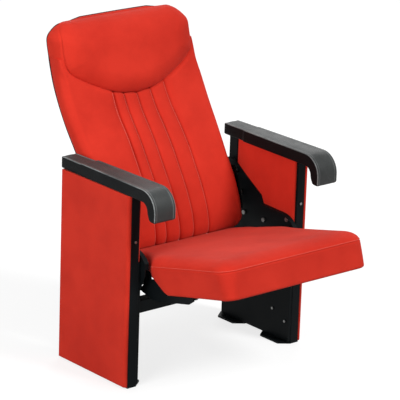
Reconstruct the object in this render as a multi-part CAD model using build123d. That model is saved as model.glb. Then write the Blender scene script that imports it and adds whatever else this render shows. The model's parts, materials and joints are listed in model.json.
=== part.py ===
from build123d import *
import math
import os

os.makedirs("parts", exist_ok=True)

# Tip-up auditorium seat: two floor-fixed standards, a tilting seat and a fixed back.
# Millimetres. +Z up, the sitter faces -Y, +X is to the right of somebody who looks at
# the seat from the front. The origin is on the floor, at the centre of the four anchors.

# ---------------------------------------------------------------- driving dimensions
# widths: everything follows the seat's half width
SEAT_HALF_WIDTH = 267.0
STANDARD_GAP = 41.0  # from the seat's side to the posts
BACK_FLANGE_GAP = 9.0

# standards
POST_WIDTH = 32.0
POST_DEPTH = 40.0
TUBE_WALL = 2.5
STANDARD_FRONT_Y = -185.0
STANDARD_REAR_Y = 139.0
FOOT_THICKNESS = 6.0
FOOT_TOE = 32.0  # from the posts towards the seat
FOOT_HOLE_INSET = 18.0
FOOT_HOLE_Y = 108.0
FOOT_HOLE_R = 5.5
FRONT_FOOT_LENGTH = 130.0
REAR_FOOT_LENGTH = 119.0
REAR_FOOT_OVERHANG = 11.0
FOOT_CHAMFER = 24.0
ARM_TOP_Z = 642.0
ARM_THICKNESS = 38.0
ARM_EDGE = 5.0
ARM_INSET = 8.0  # its middle, inwards from the posts' middle
ARM_OVERHANG = 4.0  # behind the standard
ARM_BEND_Y = -240.0
ARM_NOSE_R = 63.0
ARM_THROAT_R = 38.0
ARM_NOSE_BOTTOM_Z = 551.0
ARM_NOSE_THICKNESS = 35.0
ARM_REAR_HALF = 32.0
ARM_NOSE_HALF = 41.0
ARM_SCREW_BITE = 16.0
ARM_RAIL_THICKNESS = 6.0
ARM_RAIL_WIDTH = 28.0
ARM_RAIL_SETBACK = 9.0

# upholstered side panels
OUTER_BOARD = 9.0
INNER_BOARD = 6.0
COVER = 2.5  # fabric over thin foam
PANEL_FLOOR_GAP = 4.0
PANEL_SETBACK = 5.0  # behind the posts' front faces
PANEL_NOSE = 0.7  # share of the panel's thickness that its front edge is rounded off by
INNER_PANEL_GAP = 2.0  # above the inner plate
INNER_PANEL_REAR_Y = 87.0

# pressed inner plate and the rail behind it
PLATE_THICKNESS = 2.0
PLATE_DEPTH = 9.0
PLATE_BOTTOM_Z = 8.0
PLATE_TOP_Z = 388.0
RAIL_HEIGHT = 36.0

# wing bracket, which carries the seat pivot and the back
WING_THICKNESS = 4.0
WING_FLANGE = 10.0
WING_NOSE_R = 78.0
WING_NOSE_CENTRE = (-138.0, 344.0)
WING_TOP_Z = 422.0
WING_CORNER_R = 9.0
# from the nose's end, round below and up to the back, then down along the armrest's side
WING_EDGE = [
    (-201.0, 352.0),
    (-178.0, 300.0),
    (-110.0, 276.0),
    (10.0, 292.0),
    (84.0, 352.0),
    (116.0, 436.0),
    (134.0, 536.0),
    (94.0, 530.0),
    (36.0, 492.0),
    (-34.0, 450.0),
    (-46.0, 425.0),
]

# cross beam
BEAM_FRONT_Y = -175.0
BEAM_DEPTH = 35.0
BEAM_BOTTOM_Z = 226.0
BEAM_HEIGHT = 40.0
BEAM_PLATE = 4.0
BEAM_PLATE_MARGIN = 14.0

# tip-up hinge, built with the seat level and then turned to its rest tilt
PIVOT_Y = -115.0
PIVOT_Z = 338.0
SEAT_REST_TILT = 13.3
TIP_RANGE = 72.0
PIN_R = 8.0
PIN_SHANK_R = 6.0
BUSH_R = 10.0
BUSH_STAND = 2.0
PIN_HEAD = 4.0
PIN_HEAD_R = 13.0
PIN_END_PLAY = 0.3
PIN_NUT = 8.0
PIN_NUT_R = 11.0
RUNNING_CLEARANCE = 0.05
HINGE_ARM_THICKNESS = 5.0
HINGE_ARM_DISC_R = 28.0
STOP_RADIUS = 46.0
STOP_ANGLE = -35.0  # below straight ahead, at rest
STOP_SLEEVE_R = 6.5
STOP_STUD_R = 4.5
SLOT_CLEARANCE = 0.5
SPRING_WIRE_R = 2.2
SPRING_MEAN_R = 14.0
SPRING_TURNS = 2
SPRING_PITCH = 5.2
SPRING_PEG_R = 3.0

# seat, in its level frame: distances from the pivot
SEAT_FRONT = 429.0
SEAT_REAR = 114.0
SEAT_BASE = 69.0  # underside, below the pivot
SEAT_BOX_HEIGHT = 83.0
SEAT_CROWN = 24.0
SEAT_SEAM_BULGE = 4.0
SEAT_FRONT_RAKE = 10.0
SEAT_CORNER_R = 38.0
SEAT_REAR_STEP = 48.0  # the rear part is this much thinner
SEAT_STEP_Y = -138.0
SEAT_REAR_HALF_WIDTH = 224.0
SEAT_CHAMFER_START = 91.0  # ahead of the pivot
SEAT_CHAMFER_END = 8.0
SEAT_RIM = 15.0
PAN_THICKNESS = 10.0

# back: stations on its rear curve, from the bottom up
# (y, z, pad depth, half width beyond the seat's, side depth)
BACK_STATIONS = [
    (79.5, 338.0, 80.0, -31.0, 44.0),
    (81.5, 362.0, 87.0, -9.0, 62.0),
    (85.0, 395.0, 85.0, -1.0, 66.0),
    (102.0, 455.0, 75.0, 1.0, 60.0),
    (140.0, 530.0, 67.0, 1.0, 54.0),
    (193.0, 610.0, 67.0, 1.0, 54.0),
    (250.0, 686.0, 67.0, -1.0, 54.0),
    (288.0, 747.0, 70.0, -7.0, 54.0),
    (320.0, 812.0, 72.0, -13.0, 54.0),
    (343.0, 870.0, 72.0, -9.0, 54.0),
]
HEAD_STATIONS = [
    (275.0, 724.0, 60.0, -15.0, 50.0),
    (299.0, 768.0, 78.0, -14.0, 54.0),
    (320.0, 812.0, 92.0, -13.0, 58.0),
    (339.0, 858.0, 99.0, -9.0, 64.0),
    (353.0, 904.0, 98.0, 3.0, 68.0),
    (360.0, 932.0, 93.0, -3.0, 66.0),
    (364.0, 955.0, 82.0, -22.0, 60.0),
    (366.0, 973.0, 64.0, -52.0, 46.0),
    (367.0, 984.0, 44.0, -88.0, 34.0),
]
SHELL_WALL = 3.0
SHELL_RIM = 11.0
BACK_BOARD = 9.0
BACK_EDGE_INSET = 14.0
SHELL_EDGE_INSET = 27.0
HEAD_EDGE_INSET = 12.0  # added to it at the top, under the wider head pad
PAD_TUCK = 12.0  # pads are drawn this much too deep at the rear, then trimmed
PAD_CLEARANCE = 0.3
PLEAT_OUTER_X = 108.0
PLEAT_INNER_X = 55.0
PLEAT_DEPTH = 5.0
PLEAT_HALF_WIDTH = 10.0
PAD_SHOULDER = 26.0  # width of the pads' rounded sides
PLEAT_CONVERGENCE = 0.12
SMILE_LOW_Z = 769.0  # lowest place of the curved seam under the headrest
SMILE_BEND = (181.0, 829.0)
SMILE_SIDE = (213.0, 858.0)
SMILE_END = (236.0, 905.0)
SMILE_GAP = 1.0
BACK_FLANGE_THICKNESS = 4.0
BACK_FLANGE_AHEAD = 52.0  # its front edge, from the rear line
BACK_STRAP_REACH = 58.0
BACK_BRACKET_Z = (392.0, 520.0)
BACK_BOLT_HEIGHTS = (425.0, 485.0)  # where they square up with the rear line
BACK_BOLT_AHEAD = 34.0

# fasteners
BOLT_R = 4.0
BOLT_HEAD_R = 7.5
BOLT_HEAD = 5.0
SCREW_R = 2.5
SCREW_HEAD_R = 4.5
SCREW_HEAD = 3.0
HOLE_CLEARANCE = 0.2
SPACER_R = 9.0
SMALL_SIDES = 8  # shanks and their holes are drawn with flats, which keeps the model light
SMALL_R = 5.0  # up to this radius
TUBE_EDGE = 2.0
CUT_REACH = 1200.0  # cutting slabs reach past every size of the seat

# ------------------------------------------------------------------- derived places
POST_INNER_X = SEAT_HALF_WIDTH + STANDARD_GAP
FOOT_INNER_X = POST_INNER_X - FOOT_TOE
FOOT_HOLE_X = POST_INNER_X - FOOT_HOLE_INSET
HINGE_ARM_OUTER_X = SEAT_HALF_WIDTH
HINGE_ARM_INNER_X = HINGE_ARM_OUTER_X - HINGE_ARM_THICKNESS
BACK_FLANGE_INNER_X = SEAT_HALF_WIDTH + BACK_FLANGE_GAP
POST_OUTER_X = POST_INNER_X + POST_WIDTH
POST_MID_X = POST_INNER_X + POST_WIDTH / 2
ARM_BOTTOM_Z = ARM_TOP_Z - ARM_THICKNESS
POST_TOP_Z = ARM_BOTTOM_Z - ARM_RAIL_THICKNESS
FRONT_POST_REAR_Y = STANDARD_FRONT_Y + POST_DEPTH
REAR_POST_FRONT_Y = STANDARD_REAR_Y - POST_DEPTH
PLATE_FACE_X = POST_INNER_X - PLATE_DEPTH
WING_INNER_X = PLATE_FACE_X - WING_THICKNESS
INNER_COVER_X = POST_INNER_X - INNER_BOARD - COVER
PANEL_TOP_Z = ARM_BOTTOM_Z - 2.0
INNER_PANEL_BOTTOM_Z = PLATE_TOP_Z + INNER_PANEL_GAP
PAD_REAR = SHELL_WALL + SHELL_RIM + BACK_BOARD


# ------------------------------------------------------------------ drawing helpers
def block(x, y, z):
    """A box between two places on each axis."""
    size = [high - low for low, high in (x, y, z)]
    middle = [(low + high) / 2 for low, high in (x, y, z)]
    return Pos(*middle) * Box(*size)


def side_slab(outline, x_from, x_to):
    """An outline drawn in (y, z), made solid between two places on X."""
    return extrude(Plane.YZ.offset(x_from) * outline, amount=x_to - x_from)


def plan_slab(outline, z_from, z_to):
    """An outline drawn in (x, y), made solid between two heights."""
    return extrude(Plane.XY.offset(z_from) * outline, amount=z_to - z_from)


def disc(radius):
    """A circle, or for the small shanks and holes an outline of flats."""
    return Circle(radius) if radius > SMALL_R else RegularPolygon(radius, SMALL_SIDES)


def rod_x(radius, x_from, x_to, y, z):
    return side_slab(Pos(y, z) * disc(radius), x_from, x_to)


def rod_y(radius, y_from, y_to, x, z):
    plane = Plane(origin=(x, y_to, z), x_dir=(1, 0, 0), z_dir=(0, -1, 0))
    return extrude(plane * disc(radius), amount=y_to - y_from)


def rod_z(radius, z_from, z_to, x, y):
    return plan_slab(Pos(x, y) * disc(radius), z_from, z_to)


def closed_outline(*points):
    return make_face(Polyline(*points, close=True))


def tube(x, y, z, along):
    """A rectangular steel tube, with its edges broken, open at both ends."""
    axis = "XYZ".index(along)
    spans = [x, y, z]
    length_from, length_to = spans[axis]
    cross = [span for i, span in enumerate(spans) if i != axis]
    size = [high - low for low, high in cross]
    middle = [(low + high) / 2 for low, high in cross]
    outer = Rectangle(size[0], size[1])
    outer = chamfer(outer.vertices(), TUBE_EDGE)
    inner = Rectangle(size[0] - 2 * TUBE_WALL, size[1] - 2 * TUBE_WALL)
    ring = Pos(middle[0], middle[1]) * (outer - inner)
    if along == "X":
        return side_slab(ring, length_from, length_to)
    if along == "Z":
        return plan_slab(ring, length_from, length_to)
    plane = Plane(origin=(0, length_to, 0), x_dir=(1, 0, 0), z_dir=(0, -1, 0))
    return extrude(plane * ring, amount=length_to - length_from)


def hex_bolt_x(head_face_x, tip_x, y, z):
    """A hexagon bolt along X, whose head sits inboard of head_face_x."""
    head = side_slab(Pos(y, z) * RegularPolygon(BOLT_HEAD_R, 6), head_face_x - BOLT_HEAD, head_face_x)
    return head + rod_x(BOLT_R, head_face_x, tip_x, y, z)


def bolt_hole_x(x_from, x_to, y, z):
    return rod_x(BOLT_R + HOLE_CLEARANCE, x_from, x_to, y, z)


def mirrored(shape):
    return mirror(shape, about=Plane.YZ)


def save(name, shape):
    export_step(shape, f"parts/{name}.step")


def save_pair(name, shape):
    """The piece on the +X side is the right one, and its mirror image the left one."""
    save(f"{name}_right", shape)
    save(f"{name}_left", mirrored(shape))


def save_group(name, solids):
    save(name, Compound(children=[solid for shape in solids for solid in shape.solids()]))


def on_both_sides(shapes):
    return [copy for shape in shapes for copy in (shape, mirrored(shape))]


def seated(shape):
    """Turns a piece of the seat from its level frame, about the pivot, to its rest tilt."""
    return Pos(0, PIVOT_Y, PIVOT_Z) * Rot(-SEAT_REST_TILT, 0, 0) * shape


def about_pivot(radius, angle):
    """Place in the level frame, by its angle above straight ahead."""
    return (-radius * math.cos(math.radians(angle)), radius * math.sin(math.radians(angle)))


def on_wing(radius, angle):
    """Place on the fixed wing bracket, by its distance and angle from the pivot."""
    ahead, up = about_pivot(radius, angle)
    return (PIVOT_Y + ahead, PIVOT_Z + up)


# ------------------------------------------------------------------------ standards
WING_BOLTS = [(-160.0, 404.0), (-53.0, PLATE_TOP_Z - 14.0), (40.0, PLATE_TOP_Z - 14.0)]
PLATE_SCREWS = [(-165.0, 71.0), (-106.0, 97.0), (119.0, 71.0), (119.0, 330.0)]
RAIL_TOP_Z = PLATE_TOP_Z - PLATE_THICKNESS
BEAM_BOLTS = [
    (BEAM_FRONT_Y + BEAM_DEPTH / 2, BEAM_BOTTOM_Z - BEAM_PLATE_MARGIN / 2),
    (BEAM_FRONT_Y + BEAM_DEPTH / 2, BEAM_BOTTOM_Z + BEAM_HEIGHT + BEAM_PLATE_MARGIN / 2),
]
ARM_SCREW_Y = (-100.0, 65.0)
POST_SCREW_Z = 457.0
STOP_PLACE = on_wing(STOP_RADIUS, STOP_ANGLE)


def post(front_y):
    return tube(
        (POST_INNER_X, POST_OUTER_X),
        (front_y, front_y + POST_DEPTH),
        (FOOT_THICKNESS, POST_TOP_Z),
        "Z",
    )


def front_post():
    """Carries the wing's nose bolt, the beam and the panel's screw."""
    shape = post(STANDARD_FRONT_Y)
    shape -= bolt_hole_x(POST_INNER_X - 1, POST_INNER_X + TUBE_WALL + 1, *WING_BOLTS[0])
    for place in BEAM_BOLTS:
        shape -= bolt_hole_x(POST_INNER_X - 1, POST_INNER_X + TUBE_WALL + 1, *place)
    front = STANDARD_FRONT_Y
    return shape - rod_y(SCREW_R, front - 1, front + TUBE_WALL + 1, POST_MID_X, POST_SCREW_Z)


def foot(front_y, length, hole_y):
    """Floor flange: welded under a post, with a tapered toe towards the seat."""
    rear_y = front_y + length
    toe = FOOT_CHAMFER
    outline = closed_outline(
        (POST_OUTER_X, front_y),
        (POST_OUTER_X, rear_y),
        (POST_INNER_X, rear_y),
        (FOOT_INNER_X, rear_y - toe),
        (FOOT_INNER_X, front_y + toe),
        (POST_INNER_X, front_y),
    )
    plate = plan_slab(outline, 0, FOOT_THICKNESS)
    return plate - rod_z(FOOT_HOLE_R, -1, FOOT_THICKNESS + 1, FOOT_HOLE_X, hole_y)


def arm_rail():
    """Flat bar on the posts' tops, with the holes for the armrest's screws."""
    inner_x = POST_MID_X - ARM_RAIL_WIDTH / 2
    bar = block(
        (inner_x, inner_x + ARM_RAIL_WIDTH),
        (STANDARD_FRONT_Y, STANDARD_REAR_Y - ARM_RAIL_SETBACK),
        (POST_TOP_Z, ARM_BOTTOM_Z),
    )
    for y in ARM_SCREW_Y:
        bar -= rod_z(SCREW_R + HOLE_CLEARANCE, POST_TOP_Z - 1, ARM_BOTTOM_Z + 1, POST_MID_X, y)
    return bar


def mid_rail():
    """Tube between the posts, behind the inner plate, which takes the wing's bolts."""
    shape = tube(
        (PLATE_FACE_X + PLATE_THICKNESS, POST_OUTER_X),
        (FRONT_POST_REAR_Y, REAR_POST_FRONT_Y),
        (RAIL_TOP_Z - RAIL_HEIGHT, RAIL_TOP_Z),
        "Y",
    )
    for place in WING_BOLTS[1:]:
        shape -= bolt_hole_x(PLATE_FACE_X, PLATE_FACE_X + PLATE_THICKNESS + TUBE_WALL + 1, *place)
    return shape


def upholstered_panel(inner_x, side, thickness, y_span, z_span):
    """A board with a rounded front edge, and the upholstery that wraps its face and edges."""
    (front_y, rear_y), (low, high) = y_span, z_span
    board_x = sorted((inner_x, inner_x + side * thickness))
    cover_x = sorted((inner_x, inner_x + side * (thickness + COVER)))
    nose = thickness * PANEL_NOSE
    board = block(board_x, (front_y + COVER, rear_y - COVER), (low + COVER, high - COVER))
    cover = block(cover_x, (front_y, rear_y), (low, high))
    rounded = []
    for piece, radius in ((board, nose), (cover, nose + COVER)):
        face = piece.faces().sort_by(Axis.Y)[0]
        rounded.append(fillet(face.edges().filter_by(Axis.Z).sort_by(Axis.X)[-1 if side > 0 else 0], radius))
    board, cover = rounded
    return board, cover - board


def outer_panel():
    """Plywood board and its upholstery, on the posts' outer faces."""
    y_span = (STANDARD_FRONT_Y + PANEL_SETBACK, STANDARD_REAR_Y)
    return upholstered_panel(POST_OUTER_X, 1, OUTER_BOARD, y_span, (PANEL_FLOOR_GAP, PANEL_TOP_Z))


def inner_panel():
    """Upper inner panel: a thinner board, with the wing's nose bolt through it."""
    y_span = (STANDARD_FRONT_Y + PANEL_SETBACK, INNER_PANEL_REAR_Y)
    z_span = (INNER_PANEL_BOTTOM_Z, PANEL_TOP_Z)
    board, cover = upholstered_panel(POST_INNER_X, -1, INNER_BOARD, y_span, z_span)
    hole = bolt_hole_x(INNER_COVER_X - 1, POST_INNER_X + 1, *WING_BOLTS[0])
    return board - hole, cover - hole


def inner_plate():
    """Pressed steel tray that closes the standard's lower inner side."""
    front_y = STANDARD_FRONT_Y + 2.0
    rear_y = STANDARD_REAR_Y - 2.0
    tray = block((PLATE_FACE_X, POST_INNER_X), (front_y, rear_y), (PLATE_BOTTOM_Z, PLATE_TOP_Z))
    hollow = block(
        (PLATE_FACE_X + PLATE_THICKNESS, POST_INNER_X + 1),
        (front_y + PLATE_THICKNESS, rear_y - PLATE_THICKNESS),
        (PLATE_BOTTOM_Z + PLATE_THICKNESS, PLATE_TOP_Z - PLATE_THICKNESS),
    )
    tray -= hollow
    through = (PLATE_FACE_X - 1, PLATE_FACE_X + PLATE_THICKNESS + 1)
    for place in WING_BOLTS[1:] + BEAM_BOLTS:
        tray -= bolt_hole_x(*through, *place)
    for y, z in PLATE_SCREWS:
        tray -= rod_x(SCREW_R + HOLE_CLEARANCE, *through, y, z)
    tray -= rod_x(PIN_SHANK_R + HOLE_CLEARANCE, *through, PIVOT_Y, PIVOT_Z)
    return tray


def armrest():
    """Moulded armrest: a long pad that widens forwards and curls down at its nose."""
    rear_y = STANDARD_REAR_Y + ARM_OVERHANG
    nose_y = ARM_BEND_Y - ARM_NOSE_R
    nose_rear_y = nose_y + ARM_NOSE_THICKNESS
    nose_bottom = ARM_NOSE_BOTTOM_Z
    profile = make_face(
        [
            Line((rear_y, ARM_BOTTOM_Z), (rear_y, ARM_TOP_Z)),
            Line((rear_y, ARM_TOP_Z), (ARM_BEND_Y, ARM_TOP_Z)),
            RadiusArc((ARM_BEND_Y, ARM_TOP_Z), (nose_y, ARM_TOP_Z - ARM_NOSE_R), -ARM_NOSE_R),
            Line((nose_y, ARM_TOP_Z - ARM_NOSE_R), (nose_y, nose_bottom)),
            Line((nose_y, nose_bottom), (nose_rear_y, nose_bottom)),
            Line((nose_rear_y, nose_bottom), (nose_rear_y, ARM_BOTTOM_Z - ARM_THROAT_R)),
            RadiusArc(
                (nose_rear_y, ARM_BOTTOM_Z - ARM_THROAT_R),
                (nose_rear_y + ARM_THROAT_R, ARM_BOTTOM_Z),
                ARM_THROAT_R,
            ),
            Line((nose_rear_y + ARM_THROAT_R, ARM_BOTTOM_Z), (rear_y, ARM_BOTTOM_Z)),
        ]
    )
    centre_x = POST_MID_X - ARM_INSET
    plan = closed_outline(
        (centre_x - ARM_REAR_HALF, rear_y),
        (centre_x + ARM_REAR_HALF, rear_y),
        (centre_x + ARM_NOSE_HALF, nose_y),
        (centre_x - ARM_NOSE_HALF, nose_y),
    )
    pad = side_slab(profile, centre_x - ARM_NOSE_HALF, centre_x + ARM_NOSE_HALF)
    pad &= plan_slab(plan, nose_bottom - 1, ARM_TOP_Z + 1)
    pad = chamfer(pad.edges(), ARM_EDGE)
    for y in ARM_SCREW_Y:
        pad -= rod_z(SCREW_R, ARM_BOTTOM_Z - 1, ARM_BOTTOM_Z + ARM_SCREW_BITE + 2, POST_MID_X, y)
    return pad


# --------------------------------------------------------------------- wing bracket
def wing_outline():
    cy, cz = WING_NOSE_CENTRE
    nose_start = (cy - 3, WING_TOP_Z)
    nose_end = (cy - WING_NOSE_R * math.cos(math.radians(35)), cz + WING_NOSE_R * math.sin(math.radians(35)))
    nose_mid = (cy - WING_NOSE_R * math.cos(math.radians(62)), cz + WING_NOSE_R * math.sin(math.radians(62)))
    outline = make_face(
        [
            ThreePointArc(nose_start, nose_mid, nose_end),
            Polyline(nose_end, *WING_EDGE, nose_start),
        ]
    )
    rounded = WING_EDGE[:8]
    corners = [v for v in outline.vertices() if min(math.dist((v.X, v.Y), place) for place in rounded) < 0.1]
    return fillet(corners, WING_CORNER_R)


def wing_bracket():
    """Steel plate with a flange turned in round its nose, towards the seat."""
    outline = wing_outline()
    plate = side_slab(outline, WING_INNER_X, PLATE_FACE_X)
    rim = outline - offset(outline, amount=-WING_THICKNESS)
    cy, cz = WING_NOSE_CENTRE
    reach = WING_NOSE_R * 1.15
    nose_region = closed_outline(
        (cy - reach, cz + WING_NOSE_R / 3),
        (cy - WING_NOSE_R * 0.5, cz + WING_NOSE_R / 3),
        (cy - WING_NOSE_R * 0.25, cz + WING_NOSE_R * 0.77),
        (cy + reach, cz + WING_NOSE_R * 0.77),
        (cy + reach, cz + reach),
        (cy - reach, cz + reach),
    )
    plate += side_slab(rim & nose_region, WING_INNER_X - WING_FLANGE, WING_INNER_X)
    through = (WING_INNER_X - 1, PLATE_FACE_X + 1)
    for place in WING_BOLTS + BACK_BOLTS:
        plate -= bolt_hole_x(*through, *place)
    plate -= rod_x(PIN_SHANK_R + HOLE_CLEARANCE, *through, PIVOT_Y, PIVOT_Z)
    plate -= rod_x(STOP_STUD_R, *through, *STOP_PLACE)
    peg = rod_x(SPRING_PEG_R, WING_INNER_X - 9, WING_INNER_X, *fixed_peg_place())
    return plate + peg


# --------------------------------------------------------------------- tip-up hinge
SPRING_OUTER_X = WING_INNER_X - 3.0
SPRING_LEG = 34.0


def fixed_peg_place():
    """The peg on the wing that the spring's outer leg leans on."""
    leg_z = PIVOT_Z - SPRING_MEAN_R
    return (PIVOT_Y + SPRING_LEG - 6, leg_z - SPRING_WIRE_R - SPRING_PEG_R - 0.2)


def moving_peg_place():
    """The peg on the hinge arm that the spring's inner leg lifts, at rest."""
    return (PIVOT_Y - SPRING_LEG + 6, PIVOT_Z - SPRING_MEAN_R + SPRING_WIRE_R + SPRING_PEG_R + 0.2)


def biarc(start, start_dir, end, end_dir):
    """Two arcs from start to end, tangent to both directions and to each other."""
    chord = end - start
    both = start_dir + end_dir
    turn = 2 * (1 - start_dir.dot(end_dir))
    reach = chord.dot(both)
    arm = (-reach + math.sqrt(reach**2 + turn * chord.dot(chord))) / turn
    first = start + start_dir * arm
    last = end - end_dir * arm
    joint = (first + last) * 0.5
    return [
        TangentArc(start, joint, tangent=start_dir),
        TangentArc(joint, end, tangent=(last - first).normalized()),
    ]


def spring_path():
    """A coil about the pivot on half-turn biarcs, with a straight leg at each end."""
    slope = SPRING_PITCH / (2 * math.pi * SPRING_MEAN_R)

    def coil(angle):
        place = Vector(
            SPRING_OUTER_X - SPRING_WIRE_R - SPRING_PITCH * angle / (2 * math.pi),
            PIVOT_Y - SPRING_MEAN_R * math.sin(angle),
            PIVOT_Z - SPRING_MEAN_R * math.cos(angle),
        )
        direction = Vector(-slope, -math.cos(angle), math.sin(angle)).normalized()
        return place, direction

    half_turns = 2 * SPRING_TURNS
    stops = [coil(i * math.pi) for i in range(half_turns + 1)]
    edges = [Line(stops[0][0] - stops[0][1] * SPRING_LEG, stops[0][0])]
    for (start, start_dir), (end, end_dir) in zip(stops, stops[1:]):
        edges += biarc(start, start_dir, end, end_dir)
    edges.append(Line(stops[-1][0], stops[-1][0] + stops[-1][1] * SPRING_LEG))
    return edges


def torsion_spring():
    edges = spring_path()
    start = edges[0] @ 0
    profile = Plane(origin=start, z_dir=edges[0] % 0) * RegularPolygon(SPRING_WIRE_R, 6)
    spring = sweep(profile, path=Wire([part for edge in edges for part in edge.edges()]))
    gap = SPRING_PITCH - 2 * SPRING_WIRE_R
    print(f"torsion spring: least gap between turns {gap:.2f} mm, volume {spring.volume:.0f} mm3")
    return spring


def pivot_pin():
    """Headed pin: a journal for the hinge arm, a shank through the wing, and its nut."""
    head_from = HINGE_ARM_INNER_X - PIN_END_PLAY - PIN_HEAD
    head = side_slab(Pos(PIVOT_Y, PIVOT_Z) * RegularPolygon(PIN_HEAD_R, 6), head_from, head_from + PIN_HEAD)
    journal = rod_x(PIN_R, head_from + PIN_HEAD, WING_INNER_X, PIVOT_Y, PIVOT_Z)
    nut_from = PLATE_FACE_X + PLATE_THICKNESS
    nut = side_slab(Pos(PIVOT_Y, PIVOT_Z) * RegularPolygon(PIN_NUT_R, 6), nut_from, nut_from + PIN_NUT)
    return head + journal + rod_x(PIN_SHANK_R, WING_INNER_X, nut_from + PIN_NUT, PIVOT_Y, PIVOT_Z) + nut


def pivot_bush():
    """Plain bush pressed into the hinge arm, and a little longer, in the level frame."""
    barrel = rod_x(BUSH_R, HINGE_ARM_INNER_X, HINGE_ARM_OUTER_X + BUSH_STAND, 0, 0)
    return barrel - rod_x(PIN_R + RUNNING_CLEARANCE, HINGE_ARM_INNER_X - 1, HINGE_ARM_OUTER_X + 3, 0, 0)


def stop_slot():
    """Arc slot in the level frame: the stop is at one end at rest, at the other tipped up."""
    rest_angle = STOP_ANGLE - SEAT_REST_TILT
    travel = CenterArc((0, 0), STOP_RADIUS, 180 - rest_angle, TIP_RANGE)
    return SlotArc(travel, 2 * (STOP_SLEEVE_R + SLOT_CLEARANCE))


def hinge_arm_outline():
    rest_angle = STOP_ANGLE - SEAT_REST_TILT
    fan_r = STOP_RADIUS + STOP_SLEEVE_R + SLOT_CLEARANCE + 8.5
    fan_margin = 18.0
    steps = [rest_angle + fan_margin, rest_angle - TIP_RANGE / 2, rest_angle - TIP_RANGE - fan_margin]
    rim = [about_pivot(fan_r, angle) for angle in steps]
    fan = make_face([Line((0, 0), rim[0]), ThreePointArc(*rim), Line(rim[2], (0, 0))])
    under_rear_z = SEAT_REAR_STEP - SEAT_BASE - 2.0
    tongue = closed_outline(
        (ARM_FLANGE_FRONT_Y, -SEAT_BASE),
        (SEAT_STEP_Y + 1.0, -SEAT_BASE),
        (SEAT_STEP_Y + SEAT_REAR_STEP + 1.0, under_rear_z),
        (-72.0, under_rear_z),
        (-72.0, -4.0),
        about_pivot(HINGE_ARM_DISC_R, 60.0),
        (0, 0),
        (-20.0, -60.0),
        (-70.0, -86.0),
        (SEAT_STEP_Y, -SEAT_BASE - 20.0),
        (ARM_FLANGE_FRONT_Y + 24.0, -SEAT_BASE - 20.0),
        (ARM_FLANGE_FRONT_Y, -SEAT_BASE - 10.0),
    )
    return Circle(HINGE_ARM_DISC_R) + fan + tongue


ARM_FLANGE_FRONT_Y = -262.0
ARM_FLANGE_WIDTH = 40.0
ARM_FLANGE_BOLTS = (-245.0, -200.0, -155.0)


def hinge_arm():
    """Plated steel arm: pivot eye, stop slot, and a flange under the seat pan."""
    outline = hinge_arm_outline() - stop_slot() - Circle(BUSH_R)
    arm = side_slab(outline, HINGE_ARM_INNER_X, HINGE_ARM_OUTER_X)
    flange_x = (HINGE_ARM_OUTER_X - ARM_FLANGE_WIDTH, HINGE_ARM_OUTER_X)
    flange_z = (-SEAT_BASE - HINGE_ARM_THICKNESS, -SEAT_BASE)
    arm += block(flange_x, (ARM_FLANGE_FRONT_Y, SEAT_STEP_Y - 1.0), flange_z)
    for y in ARM_FLANGE_BOLTS:
        arm -= rod_z(BOLT_R + HOLE_CLEARANCE, flange_z[0] - 1, flange_z[1] + 1, arm_bolt_x(), y)
    peg_y, peg_z = moving_peg_place()
    arm = seated(arm)
    return arm + rod_x(SPRING_PEG_R, HINGE_ARM_OUTER_X - 1, HINGE_ARM_OUTER_X + 9, peg_y, peg_z)


def arm_bolt_x():
    return HINGE_ARM_INNER_X - (ARM_FLANGE_WIDTH - HINGE_ARM_THICKNESS) / 2


def hinge_arm_bolt(y):
    """Hexagon bolt from below, through the flange into the pan."""
    head_top = -SEAT_BASE - HINGE_ARM_THICKNESS
    x = arm_bolt_x()
    head = plan_slab(Pos(x, y) * RegularPolygon(BOLT_HEAD_R, 6), head_top - BOLT_HEAD, head_top)
    return head + rod_z(BOLT_R, head_top, -SEAT_BASE + PAN_THICKNESS - 2, x, y)


def stop_stud():
    inner_end = HINGE_ARM_INNER_X - 3.0
    return rod_x(STOP_STUD_R, inner_end, PLATE_FACE_X, *STOP_PLACE)


def stop_sleeve():
    """Rubber sleeve on the stud, which the ends of the slot meet."""
    span = (HINGE_ARM_INNER_X - 2.5, HINGE_ARM_OUTER_X + 6.0)
    return rod_x(STOP_SLEEVE_R, *span, *STOP_PLACE) - rod_x(STOP_STUD_R, *span, *STOP_PLACE)


# ----------------------------------------------------------------------------- seat
def seat_plan(front, rear, half_width, corner_r, pull_in=2.5):
    """Plan outline of the cushion: round front corners, and rear corners cut off."""
    inset = SEAT_HALF_WIDTH - half_width
    rear_half = SEAT_REAR_HALF_WIDTH - inset
    start_y = -SEAT_CHAMFER_START
    side_y = -front + corner_r
    corner = corner_r * (1 - math.sqrt(0.5))
    right = [
        ThreePointArc(
            (half_width - corner_r, -front),
            (half_width - corner, -front + corner),
            (half_width, side_y),
        ),
        ThreePointArc((half_width, side_y), (half_width - pull_in, (side_y + start_y) / 2), (half_width, start_y)),
        Line((half_width, start_y), (rear_half, -SEAT_CHAMFER_END)),
        Line((rear_half, -SEAT_CHAMFER_END), (rear_half - 6, rear)),
    ]
    left = [mirror(edge, about=Plane.YZ) for edge in right]
    across = [
        Line((-half_width + corner_r, -front), (half_width - corner_r, -front)),
        Line((-rear_half + 6, rear), (rear_half - 6, rear)),
    ]
    return make_face([part for edge in right + left + across for part in edge.edges()])


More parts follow.
